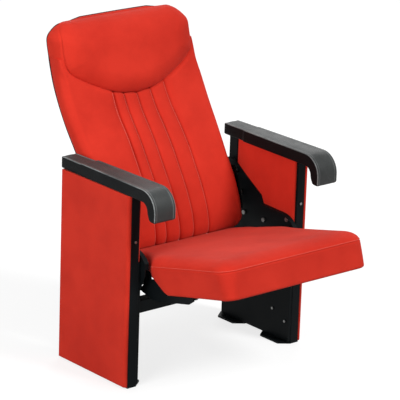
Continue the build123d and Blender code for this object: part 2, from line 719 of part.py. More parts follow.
def pan_profile(margin=0.0):
    """Side outline of the moulded pan: flat, a step up, and a thin rear part."""
    front_y = -SEAT_FRONT + SEAT_RIM + 2.0
    rear_y = SEAT_REAR - SEAT_RIM
    low = -SEAT_BASE
    high = low + SEAT_REAR_STEP
    slant = PAN_THICKNESS * (math.sqrt(2) - 1)
    return closed_outline(
        (front_y, low - margin),
        (SEAT_STEP_Y, low - margin),
        (SEAT_STEP_Y + SEAT_REAR_STEP, high - margin),
        (rear_y, high - margin),
        (rear_y, high + PAN_THICKNESS),
        (SEAT_STEP_Y + SEAT_REAR_STEP - slant, high + PAN_THICKNESS),
        (SEAT_STEP_Y - slant, low + PAN_THICKNESS),
        (front_y, low + PAN_THICKNESS),
    )


def pan_plan():
    """The pan's plan: the cushion's, drawn in by the upholstered rim."""
    half_width = SEAT_HALF_WIDTH - SEAT_RIM
    return seat_plan(SEAT_FRONT - SEAT_RIM - 2.0, SEAT_REAR - SEAT_RIM, half_width, 12.0, pull_in=1.0)


def seat_pan():
    pan = side_slab(pan_profile(), -SEAT_HALF_WIDTH, SEAT_HALF_WIDTH)
    pan &= plan_slab(pan_plan(), -SEAT_BASE - 5, SEAT_BASE)
    for side in (-1, 1):
        for y in ARM_FLANGE_BOLTS:
            pan -= rod_z(BOLT_R, -SEAT_BASE - 1, -SEAT_BASE + PAN_THICKNESS - 2, side * arm_bolt_x(), y)
    return pan


def seat_cushion():
    """Boxed cushion: raked front, sides drawn in, a crown above the seam, pan let in."""
    seam_z = SEAT_BOX_HEIGHT - SEAT_BASE
    seam_front = SEAT_FRONT - SEAT_FRONT_RAKE
    seam_half = SEAT_HALF_WIDTH + SEAT_SEAM_BULGE
    levels = [
        (-SEAT_BASE, seat_plan(SEAT_FRONT, SEAT_REAR, SEAT_HALF_WIDTH, SEAT_CORNER_R * 0.65)),
        (
            seam_z - SEAT_BOX_HEIGHT / 2,
            seat_plan(SEAT_FRONT - SEAT_FRONT_RAKE * 0.28, SEAT_REAR, SEAT_HALF_WIDTH, SEAT_CORNER_R * 0.85),
        ),
        (seam_z, seat_plan(seam_front, SEAT_REAR, seam_half, SEAT_CORNER_R)),
    ]
    boxing = loft([Plane.XY.offset(z) * plan for z, plan in levels], ruled=True)
    crown_levels = [
        (0.0, 0.0, 0.0),
        (0.55, 6.0, 9.0),
        (0.86, 20.0, 34.0),
        (1.0, 60.0, 90.0),
    ]
    crown = loft(
        [
            Plane.XY.offset(seam_z + rise * SEAT_CROWN)
            * seat_plan(seam_front - front_in, SEAT_REAR - front_in / 6, seam_half - side_in, SEAT_CORNER_R)
            for rise, side_in, front_in in crown_levels
        ],
        ruled=True,
    )
    step_low = SEAT_BASE - SEAT_REAR_STEP
    notch = closed_outline(
        (SEAT_STEP_Y - 30, -SEAT_BASE - 30),
        (SEAT_STEP_Y + SEAT_REAR_STEP, -step_low),
        (SEAT_REAR + 20, -step_low),
        (SEAT_REAR + 20, -SEAT_BASE - 30),
    )
    cushion = boxing + crown - side_slab(notch, -SEAT_HALF_WIDTH - 50, SEAT_HALF_WIDTH + 50)
    pocket = side_slab(pan_profile(margin=2.0), -SEAT_HALF_WIDTH, SEAT_HALF_WIDTH)
    return cushion - (pocket & plan_slab(pan_plan(), -SEAT_BASE - 5, SEAT_BASE))


# ----------------------------------------------------------------------------- back
BACK_LINE = BACK_STATIONS[:-1] + HEAD_STATIONS[3:-1]


def forward_normal(y, z, stations):
    """Unit vector square to the stations' rear line, towards the sitter."""
    line = [(station[0], station[1]) for station in stations]
    here = line.index((y, z))
    below = line[max(here - 1, 0)]
    above = line[min(here + 1, len(line) - 1)]
    return Vector(0, below[1] - above[1], above[0] - below[0]).normalized()


def offset_points(amount):
    """The rear line's points, moved towards the sitter."""
    points = []
    for y, z, *_ in BACK_LINE:
        normal = forward_normal(y, z, BACK_LINE)
        points.append((y + normal.Y * amount, z + normal.Z * amount))
    return points


def layer(near, far):
    """A curved layer of the back, between two distances from the rear line."""
    rear = offset_points(near)
    front = offset_points(far)
    outline = closed_outline(*rear, *reversed(front))
    return side_slab(outline, -SEAT_HALF_WIDTH - 50, SEAT_HALF_WIDTH + 50)


def front_view(inset):
    """The back's outline as seen from the front, drawn in by an inset."""
    top = BACK_LINE[-1]
    waist_z = BACK_STATIONS[-3][1]
    head_rise = top[1] - waist_z
    right = [
        (SEAT_HALF_WIDTH + beyond - inset - HEAD_EDGE_INSET * max(0.0, (z - waist_z) / head_rise), z)
        for _, z, _, beyond, _ in BACK_LINE
    ]
    left = [(-x, z) for x, z in right]
    outline = closed_outline(*right, *reversed(left))
    plane = Plane(origin=(0, CUT_REACH, 0), x_dir=(1, 0, 0), z_dir=(0, -1, 0))
    return extrude(plane * outline, amount=2 * CUT_REACH)


def back_board():
    near = SHELL_WALL + SHELL_RIM
    board = layer(near, near + BACK_BOARD) & front_view(BACK_EDGE_INSET)
    return board


def back_rear_shell():
    """Thin moulded shell with a rim that the board sits on."""
    full = layer(0, SHELL_WALL + SHELL_RIM) & front_view(SHELL_EDGE_INSET)
    hollow = layer(SHELL_WALL, SHELL_WALL + SHELL_RIM + 1) & front_view(SHELL_EDGE_INSET + SHELL_WALL)
    low, high = BACK_BRACKET_Z
    shell = full - hollow
    for side in (-1, 1):
        slot_x = sorted((side * (SEAT_HALF_WIDTH - BACK_STRAP_REACH - 2), side * (SEAT_HALF_WIDTH + 20)))
        notch = block(slot_x, (-CUT_REACH, CUT_REACH), (low - 1, high + 1))
        shell -= notch & layer(SHELL_WALL + SHELL_RIM - BACK_FLANGE_THICKNESS - 1, SHELL_WALL + SHELL_RIM + 1)
    return shell


def pad_section(station, stations, seams):
    """Section square to the rear line: flat rear, drawn-in sides, a front crowned
    between the sewn seams."""
    y, z, depth, beyond, side_depth = station
    half_width = SEAT_HALF_WIDTH + beyond
    normal = forward_normal(y, z, stations)
    base = Vector(0, y, z) + normal * (PAD_REAR - PAD_TUCK)
    plane = Plane(origin=base, x_dir=(1, 0, 0), z_dir=Vector(1, 0, 0).cross(normal))
    full = depth - PAD_REAR + PAD_TUCK
    side = side_depth - PAD_REAR + PAD_TUCK
    shoulder = half_width - PAD_SHOULDER

    def crown(x):
        return full - (full - side) * 0.45 * (abs(x) / shoulder) ** 2.2

    widest_n = side * 0.55
    right = [(half_width - 8.0, 0.0)]
    for turn in (0.0, 30.0, 60.0):
        across = math.cos(math.radians(turn))
        ahead = math.sin(math.radians(turn))
        right.append((shoulder + PAD_SHOULDER * across, widest_n + (crown(shoulder) - widest_n) * ahead))
    left = [(-x, n) for x, n in reversed(right)]
    front = []
    for x in seams:
        for step, drop in ((-PLEAT_HALF_WIDTH, 0.0), (0.0, PLEAT_DEPTH), (PLEAT_HALF_WIDTH, 0.0)):
            front.append((x + step, crown(x + step) - drop))
    if not seams:
        front = [(share * shoulder, crown(share * shoulder)) for share in (-0.75, -0.45, 0.0, 0.45, 0.75)]
    front = [(-shoulder, crown(shoulder))] + front + [(shoulder, crown(shoulder))]
    return plane * closed_outline(*right, *reversed(front), *left)


def seated_on_board(pad):
    """The pad's rear, trimmed to the board that it is glued to, with a lip round its edge."""
    pad -= layer(-PAD_REAR, SHELL_WALL + SHELL_RIM + PAD_CLEARANCE)
    return pad - (layer(0, PAD_REAR) & front_view(BACK_EDGE_INSET - PAD_CLEARANCE))


def smile_region(drop):
    """Everything above the curved seam under the headrest."""
    low = (0.0, SMILE_LOW_Z - drop)
    bend, side, end = [(x, z - drop) for x, z in (SMILE_BEND, SMILE_SIDE, SMILE_END)]
    reach_x = SEAT_HALF_WIDTH + 60
    reach_z = CUT_REACH

    def left(place):
        return (-place[0], place[1])

    outline = make_face(
        [
            ThreePointArc(left(end), left(side), left(bend)),
            ThreePointArc(left(bend), low, bend),
            ThreePointArc(bend, side, end),
            Polyline(
                end,
                (reach_x, end[1] + 40),
                (reach_x, reach_z),
                (-reach_x, reach_z),
                (-reach_x, end[1] + 40),
                left(end),
            ),
        ]
    )
    plane = Plane(origin=(0, CUT_REACH, 0), x_dir=(1, 0, 0), z_dir=(0, -1, 0))
    return extrude(plane * outline, amount=2 * CUT_REACH)


def pleat_places(z):
    """The five sewn pleats draw together towards the top."""
    rise = (z - BACK_STATIONS[0][1]) / (SMILE_LOW_Z - BACK_STATIONS[0][1])
    narrowing = 1 - PLEAT_CONVERGENCE * min(rise, 1.3)
    return [x * narrowing for x in (-PLEAT_OUTER_X, -PLEAT_INNER_X, 0.0, PLEAT_INNER_X, PLEAT_OUTER_X)]


def back_cushion():
    """Lower back pad, sewn into channels by five pleats."""
    sections = [pad_section(station, BACK_STATIONS, pleat_places(station[1])) for station in BACK_STATIONS]
    pad = loft(sections, ruled=True)
    return seated_on_board(pad - smile_region(SMILE_GAP))


def headrest_cushion():
    """Head pad that swells forwards above the curved seam."""
    pad = loft([pad_section(station, HEAD_STATIONS, []) for station in HEAD_STATIONS], ruled=True)
    return seated_on_board(pad & smile_region(0.0))


def back_bracket():
    """Steel angle: a wing between board and shell, and a side flange for the bolts."""
    low, high = BACK_BRACKET_Z
    flange_x = (BACK_FLANGE_INNER_X, BACK_FLANGE_INNER_X + BACK_FLANGE_THICKNESS)
    rear = SHELL_WALL + SHELL_RIM
    strap = layer(rear - BACK_FLANGE_THICKNESS, rear)
    strap &= block((SEAT_HALF_WIDTH - BACK_STRAP_REACH, flange_x[1]), (-CUT_REACH, CUT_REACH), (low, high))
    flange = layer(rear - BACK_FLANGE_THICKNESS, BACK_FLANGE_AHEAD)
    flange &= block(flange_x, (-CUT_REACH, CUT_REACH), (low, high))
    bracket = strap + flange
    for place in BACK_BOLTS:
        bracket -= bolt_hole_x(flange_x[0] - 1, flange_x[1] + 1, *place)
    return bracket


def back_bolt(place):
    """Low-headed bolt from the flange, through its spacer, into the wing bracket."""
    head_face = BACK_FLANGE_INNER_X
    return hex_bolt_x(head_face, PLATE_FACE_X, *place)


def back_spacer(place):
    span = (BACK_FLANGE_INNER_X + BACK_FLANGE_THICKNESS, WING_INNER_X)
    body = side_slab(Pos(*place) * RegularPolygon(SPACER_R, SMALL_SIDES), *span)
    return body - bolt_hole_x(span[0] - 1, span[1] + 1, *place)


def bracket_bolt_places():
    """Two places on the side flange, along the back's curve."""
    places = []
    for height in BACK_BOLT_HEIGHTS:
        (y_low, z_low), (y_high, z_high) = next(
            (low[:2], high[:2]) for low, high in zip(BACK_LINE, BACK_LINE[1:]) if low[1] <= height < high[1]
        )
        share = (height - z_low) / (z_high - z_low)
        ahead = Vector(0, z_low - z_high, y_high - y_low).normalized() * BACK_BOLT_AHEAD
        places.append((y_low + (y_high - y_low) * share + ahead.Y, height + ahead.Z))
    return places


BACK_BOLTS = bracket_bolt_places()


# ---------------------------------------------------------------------------- beam
def cross_beam():
    """Tube between the standards, with a bolted plate welded to each end."""
    rear_y = BEAM_FRONT_Y + BEAM_DEPTH
    top_z = BEAM_BOTTOM_Z + BEAM_HEIGHT
    reach = PLATE_FACE_X - BEAM_PLATE
    beam = tube((-reach, reach), (BEAM_FRONT_Y, rear_y), (BEAM_BOTTOM_Z, top_z), "X")
    for side in (-1, 1):
        span = sorted((side * reach, side * PLATE_FACE_X))
        beam += block(
            span,
            (BEAM_FRONT_Y - 2, rear_y + 2),
            (BEAM_BOTTOM_Z - BEAM_PLATE_MARGIN, top_z + BEAM_PLATE_MARGIN),
        )
        for y, z in BEAM_BOLTS:
            beam -= bolt_hole_x(span[0] - 1, span[1] + 1, y, z)
    return beam


# -------------------------------------------------------------------------- export
save_pair("front_post", front_post())
save_pair("rear_post", post(REAR_POST_FRONT_Y))
save_pair("front_foot", foot(STANDARD_FRONT_Y, FRONT_FOOT_LENGTH, -FOOT_HOLE_Y))
REAR_FOOT_REAR_Y = STANDARD_REAR_Y + REAR_FOOT_OVERHANG
save_pair("rear_foot", foot(REAR_FOOT_REAR_Y - REAR_FOOT_LENGTH, REAR_FOOT_LENGTH, FOOT_HOLE_Y))
save_pair("arm_rail", arm_rail())
save_pair("mid_rail", mid_rail())
for panel_name, (panel_board, panel_cover) in (("outer_panel", outer_panel()), ("inner_panel", inner_panel())):
    save_pair(f"{panel_name}_board", panel_board)
    save_pair(f"{panel_name}_cover", panel_cover)
save_pair("inner_plate", inner_plate())
save_pair("armrest", armrest())
save_pair("wing_bracket", wing_bracket())
save_group("pivot_pins", on_both_sides([pivot_pin()]))
save_group("pivot_bushes", on_both_sides([seated(pivot_bush())]))
save_pair("hinge_arm", hinge_arm())
save_group("stop_studs", on_both_sides([stop_stud()]))
save_group("stop_sleeves", on_both_sides([stop_sleeve()]))
save_pair("back_bracket", back_bracket())
save("cross_beam", cross_beam())
save("seat_pan", seated(seat_pan()))
save("seat_cushion", seated(seat_cushion()))
save("back_board", back_board())
save("back_rear_shell", back_rear_shell())
save("back_cushion", back_cushion())
save("headrest_cushion", headrest_cushion())
save_group("torsion_springs", on_both_sides([torsion_spring()]))
save_group("hinge_arm_bolts", on_both_sides([seated(hinge_arm_bolt(y)) for y in ARM_FLANGE_BOLTS]))
save_group("back_bolts", on_both_sides([back_bolt(place) for place in BACK_BOLTS]))
save_group("back_spacers", on_both_sides([back_spacer(place) for place in BACK_BOLTS]))
WING_BOLT_TIP_X = POST_INNER_X + TUBE_WALL
save_group(
    "wing_bolts",
    on_both_sides(
        [hex_bolt_x(WING_INNER_X, WING_BOLT_TIP_X, *WING_BOLTS[0])]
        + [hex_bolt_x(WING_INNER_X, PLATE_FACE_X + PLATE_THICKNESS + TUBE_WALL, *place) for place in WING_BOLTS[1:]]
    ),
)
save_group(
    "beam_bolts",
    on_both_sides([hex_bolt_x(PLATE_FACE_X - BEAM_PLATE, WING_BOLT_TIP_X, *place) for place in BEAM_BOLTS]),
)
save_group(
    "plate_screws",
    on_both_sides(
        [
            rod_x(SCREW_HEAD_R, PLATE_FACE_X - SCREW_HEAD, PLATE_FACE_X, y, z)
            + rod_x(SCREW_R, PLATE_FACE_X, PLATE_FACE_X + 9, y, z)
            for y, z in PLATE_SCREWS
        ]
    ),
)
save_group(
    "post_screws",
    on_both_sides(
        [
            rod_y(SCREW_HEAD_R, STANDARD_FRONT_Y - SCREW_HEAD, STANDARD_FRONT_Y, POST_MID_X, POST_SCREW_Z)
            + rod_y(SCREW_R, STANDARD_FRONT_Y, STANDARD_FRONT_Y + 9, POST_MID_X, POST_SCREW_Z)
        ]
    ),
)
save_group(
    "arm_screws",
    on_both_sides(
        [
            rod_z(SCREW_HEAD_R, POST_TOP_Z - SCREW_HEAD, POST_TOP_Z, POST_MID_X, y)
            + rod_z(SCREW_R, POST_TOP_Z, ARM_BOTTOM_Z + ARM_SCREW_BITE, POST_MID_X, y)
            for y in ARM_SCREW_Y
        ]
    ),
)
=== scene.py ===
import json
import math

import bmesh
import bpy
import numpy as np
from mathutils import Matrix, Vector


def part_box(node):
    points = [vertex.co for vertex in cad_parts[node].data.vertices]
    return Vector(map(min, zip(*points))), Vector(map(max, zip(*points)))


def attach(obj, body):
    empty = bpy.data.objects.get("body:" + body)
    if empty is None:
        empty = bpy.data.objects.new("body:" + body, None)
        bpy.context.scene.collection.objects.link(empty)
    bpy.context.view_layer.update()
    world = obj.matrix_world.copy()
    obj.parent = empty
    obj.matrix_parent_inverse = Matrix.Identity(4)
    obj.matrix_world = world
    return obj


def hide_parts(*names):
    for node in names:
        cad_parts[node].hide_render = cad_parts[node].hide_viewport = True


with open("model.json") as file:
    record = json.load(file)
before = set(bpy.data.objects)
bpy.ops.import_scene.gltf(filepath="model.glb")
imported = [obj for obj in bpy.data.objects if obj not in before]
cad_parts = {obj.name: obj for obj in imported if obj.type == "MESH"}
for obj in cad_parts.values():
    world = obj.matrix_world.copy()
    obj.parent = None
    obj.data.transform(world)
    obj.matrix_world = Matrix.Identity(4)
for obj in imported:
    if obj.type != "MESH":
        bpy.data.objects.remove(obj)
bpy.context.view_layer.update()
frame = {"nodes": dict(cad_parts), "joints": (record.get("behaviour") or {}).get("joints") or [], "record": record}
NODES = frame["nodes"]

# Tip-up auditorium seat, dressed over its CAD frame. Metres, +Z up, the sitter faces -Y.

# ----------------------------------------- seat's dimensions
# Places are in the seat's level frame, with the pivot as its origin.
PIVOT = Vector(frame["joints"][0]["pos_m"])
SEAT_TILT = math.radians(13.3)
SEAT_FRONT = 0.436  # ahead of the pivot
SEAT_REAR = 0.114  # behind it
SEAT_HALF_WIDTH = 0.267
SEAT_WAIST = 0.0025  # the sides are drawn in by this much half way along
SEAT_CHAMFER = (0.091, 0.008)  # each rear corner's cut, from and to, ahead of the pivot
SEAT_REAR_HALF = 0.224
SEAT_REAR_TAPER = 0.006
SEAT_CORNERS = (0.032, 0.040, 0.050)  # radius of the front ones: lower edge, between, seam
SEAT_BASE = 0.069  # the lower edge, below the pivot
SEAT_STEP_Y = -0.138  # from here back the lower edge rises, by as much as it runs
SEAT_STEP = 0.048
SEAT_RIM = 0.015  # the cover's turned-in rim under the pan
SEAT_SEAM_Z = 0.014
SEAT_SEAM_HIGH = 0.0032  # from the lower to the upper side of the sewn seam
SEAT_BULGE = 0.009  # the seam stands out past the lower edge at the sides
SEAT_RAKE = 0.002  # and lies behind it at the front
SEAT_CROWN = 0.024
SEAT_SWELL = 0.007  # rise over the crown, dying out towards the rear
SEAT_SWELL_RUN = 0.09
SEAT_DOME = 0.003  # last rise of the core over the crown
SEAT_SLOPE = 0.060  # how far in from the seam the top is still rising
SEAT_SLOPE_LESS = 0.03  # what that loses towards the rear,
SEAT_SLOPE_Y = -0.16  # from here back
SEAT_SLOPE_RUN = 0.12  # and over this stretch
SEAT_REAR_SLOPE = 0.013  # how far in from the rear edge the top is still rising
SEAT_CORE = ((-0.12, -0.27), (0.12, 0.04))  # the flat middle of the top, corner to corner
SEAT_MIDDLE = (0.0, -0.115)  # which the flat middle's rings close in on

# ----------------------------------------- back's dimensions
PAD_REAR = 0.0233  # the pads' rear, ahead of the back's rear line
PAD_LIP = 0.0143  # and where they lap round the board's edge
LIP_CLEAR = 0.0006  # how far outside the board's edge the laps stay
# rear line of the back: y, z, pad depth, half width, depth at the sides, half width at the
# rear, radius of the shoulder
BACK_STATIONS = np.array(
    [
        (0.0795, 0.338, 0.080, 0.244, 0.071, 0.231, 0.020),
        (0.0815, 0.362, 0.087, 0.262, 0.080, 0.252, 0.022),
        (0.085, 0.395, 0.085, 0.266, 0.077, 0.259, 0.026),
        (0.102, 0.455, 0.075, 0.268, 0.069, 0.261, 0.026),
        (0.140, 0.530, 0.067, 0.269, 0.063, 0.262, 0.026),
        (0.193, 0.610, 0.067, 0.272, 0.064, 0.262, 0.026),
        (0.250, 0.686, 0.067, 0.276, 0.067, 0.262, 0.026),
        (0.288, 0.747, 0.070, 0.276, 0.069, 0.262, 0.026),
        (0.320, 0.812, 0.072, 0.270, 0.069, 0.262, 0.024),
        (0.343, 0.870, 0.074, 0.2625, 0.070, 0.2595, 0.016),
        (0.353, 0.904, 0.076, 0.260, 0.070, 0.2585, 0.012),
        (0.360, 0.932, 0.076, 0.260, 0.070, 0.2585, 0.012),
        (0.364, 0.955, 0.076, 0.260, 0.070, 0.2585, 0.012),
        (0.366, 0.973, 0.076, 0.260, 0.070, 0.2585, 0.012),
        (0.3675, 1.000, 0.076, 0.260, 0.070, 0.2585, 0.012),
    ]
)
BACK_HEIGHTS = BACK_STATIONS[:, 1]
BACK_BOTTOM = BACK_HEIGHTS[0]
BACK_BOTTOM_ROLL = 0.009  # radius of the pad's lower edge
SEAM_ROLLS = (0.0008, 0.005)  # and of its upper one, at the seam's ends and along the rest
SEAM_GAP = 0.0009  # between the pad and the head pad
# height and half width of the board in front view, which the pads' laps stay outside of
BOARD_EDGE = np.array(
    [(0.338, 0.222), (0.362, 0.244), (0.395, 0.252), (0.455, 0.254), (0.610, 0.254)]
    + [(0.686, 0.252), (0.747, 0.246), (0.812, 0.2366), (0.858, 0.2382), (0.904, 0.2478)]
    + [(0.932, 0.2404), (0.955, 0.2202), (0.973, 0.190)]
)
BOARD_TOP = 0.9742
# the curved seam under the head pad in front view: distance from the middle, and height
SEAM_LINE = np.array(
    [(0.0, 0.767), (0.075, 0.7765), (0.142, 0.800), (0.181, 0.818), (0.207, 0.832), (0.229, 0.8475)]
    + [(0.2375, 0.858), (0.2435, 0.872), (0.2475, 0.895)]
)
SEAM_HALF = SEAM_LINE[5, 0]  # out to here the head pad meets the lower pad
SEAM_COLUMNS = 34  # the head pad's columns over that stretch, from the middle out
HEAD_EDGE = 0.2475
HEAD_TOP = 0.993
HEAD_CORNER = (0.196, 0.938)  # middle of the upper corner's oval
HEAD_DEPTH = 0.101  # of the dome, then of its edge
HEAD_SEAM_DEPTH = 0.066
HEAD_SIDE_DEPTH = 0.074
HEAD_TOP_DEPTH = 0.024
HEAD_CORE = (0.66, 0.15, 0.893)  # the dome's middle: share and limit of the width, height
HEAD_FLARE = 0.013  # the boxing widens towards its rear,
HEAD_FLARE_RISE = (0.850, 0.035)  # from this height up, fully after this stretch,
HEAD_FLARE_FADE = 0.06  # and less and less over this last stretch to the top
HEAD_DROP = 0.009  # the boxing's upper rear corners lie lower
HEAD_TRIM_Z = 0.894  # above here the trim follows the head pad
TRIM_RADIUS = 0.0018
TRIM_HEIGHTS = (0.535, 0.885)  # the stretch beside the lower pad
TRIM_INSETS = (0.0004, 0.0006)  # in from the lower pad's rear edge, and from the head pad's
TRIM_SIDES = 10
# where each pleat lies at three heights, from the sitter's right to left
PLEAT_HEIGHTS = np.array([0.338, 0.560, 0.770])
PLEATS = np.array(
    [(-0.090, -0.088, -0.087), (-0.050, -0.049, -0.050), (0.003, 0.003, -0.001)]
    + [(0.058, 0.061, 0.052), (0.119, 0.124, 0.110)]
)
PLEAT_DEPTH = 0.012
PLEAT_REACH = 0.011  # how far the padding takes to rise beside a pleat
# columns across the back pad's rear and round each of its sides, and shares of the way from
# one seam to the next, crowded beside both
SECTION_REAR = 12
SECTION_SIDE = 14
FRONT_SPREAD = np.array([0.0, 0.02, 0.05, 0.1, 0.19, 0.33, 0.5, 0.67, 0.81, 0.9, 0.95, 0.98])
BACK_ROWS = 80

# ------------------------------- arms', panels' and thread's
ARM_TOP_Z = 0.642
ARM_THICKNESS = 0.038
ARM_CENTRE_X = 0.316
ARM_REAR_Y = 0.150
ARM_BEND_Y = -0.247
ARM_NOSE_R = 0.063
ARM_NOSE_BOTTOM = 0.551
ARM_EDGE = 0.0045
ARM_TIP_TAPER = 0.013  # the nose thins towards its tip
ARM_REAR_HALF = 0.0315
ARM_NOSE_WIDEN = 0.009
ARM_STEP_Y = 0.05  # behind here the arm is a little lower, and its inner side stands back
ARM_STEP = 0.003
ARM_STEP_SPREAD = 0.0012
ARM_END = 0.006  # how each end is rounded: narrower by, and back from the end
ARM_END_ROUND = ((ARM_END, 0.0), (0.003, 0.0014), (0.0012, 0.0034), (0.0, ARM_END))
# across the arm's top: share of the half width, and height against the edges
ARM_TOP_LINE = [(0.80, -0.0001), (0.74, -0.0009), (0.66, -0.0010), (0.4, -0.0003), (0.0, 0.0002)]
ARM_TOP_LINE += [(-share, drop) for share, drop in ARM_TOP_LINE[-2::-1]]

PANEL_WRAP = 0.005  # the outer covers lap a little way over the post
OUTER_PANEL_NOSE = 0.0088
INNER_PANEL_NOSE = 0.0067
PANEL_EDGE = 0.0026
PANEL_SWELL = 0.0016
PANEL_SWELL_RUN = 0.09
PANEL_FOOT = 0.0006  # gap from the board to the cover's flat rear
PANEL_SPACING = np.array([0.0, 0.0003, 0.0008, 0.0015, 0.0025, 0.004, 0.006, 0.009, 0.014, 0.024, 0.04])

STITCH_PITCH = 0.0052
STITCH_LENGTH = 0.0044
PLEAT_THREAD = 0.0008
SEAT_THREAD = 0.0005
SEAT_THREAD_END = -0.13  # the seat's stitching runs ahead of here, y in the rest pose
CLOTH_FRAMES = 18


# ----------------------------------------------- shader help
class Shader:
    """A node material, wired by short calls."""

    def __init__(self, name):
        self.material = bpy.data.materials.new(name)
        self.material.use_nodes = True
        self.tree = self.material.node_tree
        self.surface = self.tree.nodes["Principled BSDF"]
        self.place = self.node("ShaderNodeTexCoord").outputs["Object"]

    def node(self, kind, **values):
        made = self.tree.nodes.new(kind)
        for key, value in values.items():
            setattr(made, key, value)
        return made

    def link(self, source, target):
        self.tree.links.new(source, target)

    def feed(self, made, name, value):
        socket = made.inputs[name]
        if isinstance(value, bpy.types.NodeSocket):
            self.link(value, socket)
        else:
            socket.default_value = value

    def math(self, operation, *values):
        made = self.node("ShaderNodeMath", operation=operation)
        for i, value in enumerate(values):
            self.feed(made, i, value)
        return made.outputs[0]

    def noise(self, scale, detail=3.0, roughness=0.55, place=None):
        made = self.node("ShaderNodeTexNoise")
        self.link(place or self.place, made.inputs["Vector"])
        made.inputs["Scale"].default_value = scale
        made.inputs["Detail"].default_value = detail
        made.inputs["Roughness"].default_value = roughness
        return made.outputs["Fac"]

    def ramp(self, value, low, high, low_out=0.0, high_out=1.0):
        """Value from low to high, spread over the two outputs."""
        made = self.node("ShaderNodeMapRange")
        self.link(value, made.inputs["Value"])
        for name, number in zip(("From Min", "From Max", "To Min", "To Max"), (low, high, low_out, high_out)):
            made.inputs[name].default_value = number
        return made.outputs["Result"]

    def blend(self, share, first, second):
        """Mix of two colours, each a socket or three numbers."""
        made = self.node("ShaderNodeMix", data_type="RGBA")
        self.feed(made, "Factor", share)
        for socket, value in ((made.inputs[6], first), (made.inputs[7], second)):
            if isinstance(value, bpy.types.NodeSocket):
                self.link(value, socket)
            else:
                socket.default_value = (*value, 1.0)
        return made.outputs[2]

    def bump(self, height, distance, strength=1.0, below=None):
        made = self.node("ShaderNodeBump")
        self.link(height, made.inputs["Height"])
        made.inputs["Distance"].default_value = distance
        made.inputs["Strength"].default_value = strength
        if below is not None:
            self.link(below, made.inputs["Normal"])
        return made.outputs["Normal"]

    def finish(self, colour, roughness, normal, **others):
        """Feeds the surface. The others are named by socket, with _ for a space."""
        self.link(colour, self.surface.inputs["Base Color"])
        self.link(roughness, self.surface.inputs["Roughness"])
        self.link(normal, self.surface.inputs["Normal"])
        for name, value in others.items():
            self.feed(self.surface, name.replace("_", " "), value)
        return self.material


def weave(shader, pitch):
    """Over and under threads on whichever two axes lie in the surface."""
    waves = []
    split = shader.node("ShaderNodeSeparateXYZ")
    shader.link(shader.place, split.inputs[0])
    for axis in range(3):
        waves.append(shader.math("SINE", shader.math("MULTIPLY", split.outputs[axis], 2 * math.pi / pitch)))
    normal = shader.node("ShaderNodeSeparateXYZ")
    shader.link(shader.node("ShaderNodeTexCoord").outputs["Normal"], normal.inputs[0])
    total = 0.0
    for axis in range(3):
        facing = shader.math("POWER", shader.math("ABSOLUTE", normal.outputs[axis]), 3.0)
        crossed = shader.math("MULTIPLY", waves[(axis + 1) % 3], waves[(axis + 2) % 3])
        total = shader.math("ADD", total, shader.math("MULTIPLY", facing, crossed))
    return total


# ------------------------------------------------- materials
RED = (0.70, 0.036, 0.018)
RED_DEEP = (0.58, 0.026, 0.013)
RED_BETWEEN_THREADS = (0.36, 0.012, 0.01)
RED_SLUB = (0.82, 0.10, 0.07)
# thread colours, lighter than the cloth as a painted highlight along the pleats' fold edges and the seat's seam
THREAD_HIGHLIGHT_SOFT = (0.72, 0.12, 0.09)
THREAD_HIGHLIGHT_BRIGHT = (0.84, 0.20, 0.15)
BIRCH = (0.58, 0.40, 0.24)
BIRCH_DARK = (0.40, 0.25, 0.13)
THREAD_PITCH = 0.0022


def cloth_material():
    """Plain woven wool-blend: threads, slubs, faint colour drift and a soft sheen."""
    shader = Shader("red_cloth")
    threads = weave(shader, THREAD_PITCH)
    slubs = shader.noise(420.0, 2.0)
    drift = shader.noise(7.0, 4.0, 0.6)
    colour = shader.blend(shader.ramp(drift, 0.35, 0.7), RED, RED_DEEP)
    colour = shader.blend(shader.ramp(threads, -1.0, 1.0, 0.16, 0.0), colour, RED_BETWEEN_THREADS)
    colour = shader.blend(shader.ramp(slubs, 0.62, 0.8, 0.0, 0.25), colour, RED_SLUB)
    rough = shader.ramp(slubs, 0.3, 0.7, 0.72, 0.86)
    creases = shader.bump(shader.noise(26.0, 4.0, 0.6), 0.0012, 0.5)
    normal = shader.bump(threads, 0.00035, 0.6, creases)
    return shader.finish(
        colour,
        rough,
        normal,
        Sheen_Weight=0.08,
        Sheen_Roughness=0.45,
        Sheen_Tint=(1.0, 0.62, 0.55, 1.0),
        Specular_IOR_Level=0.10,
    )


def highlight_thread_material():
    """Thread a shade lighter than the cloth, as a painted highlight along the pleats' fold edges and the seat's
    seam.
    """
    shader = Shader("pale_highlight_thread")
    twist = shader.noise(900.0, 2.0)
    colour = shader.blend(shader.ramp(twist, 0.3, 0.7), THREAD_HIGHLIGHT_BRIGHT, THREAD_HIGHLIGHT_SOFT)
    return shader.finish(colour, shader.ramp(twist, 0.3, 0.7, 0.45, 0.6), shader.bump(twist, 0.0002))


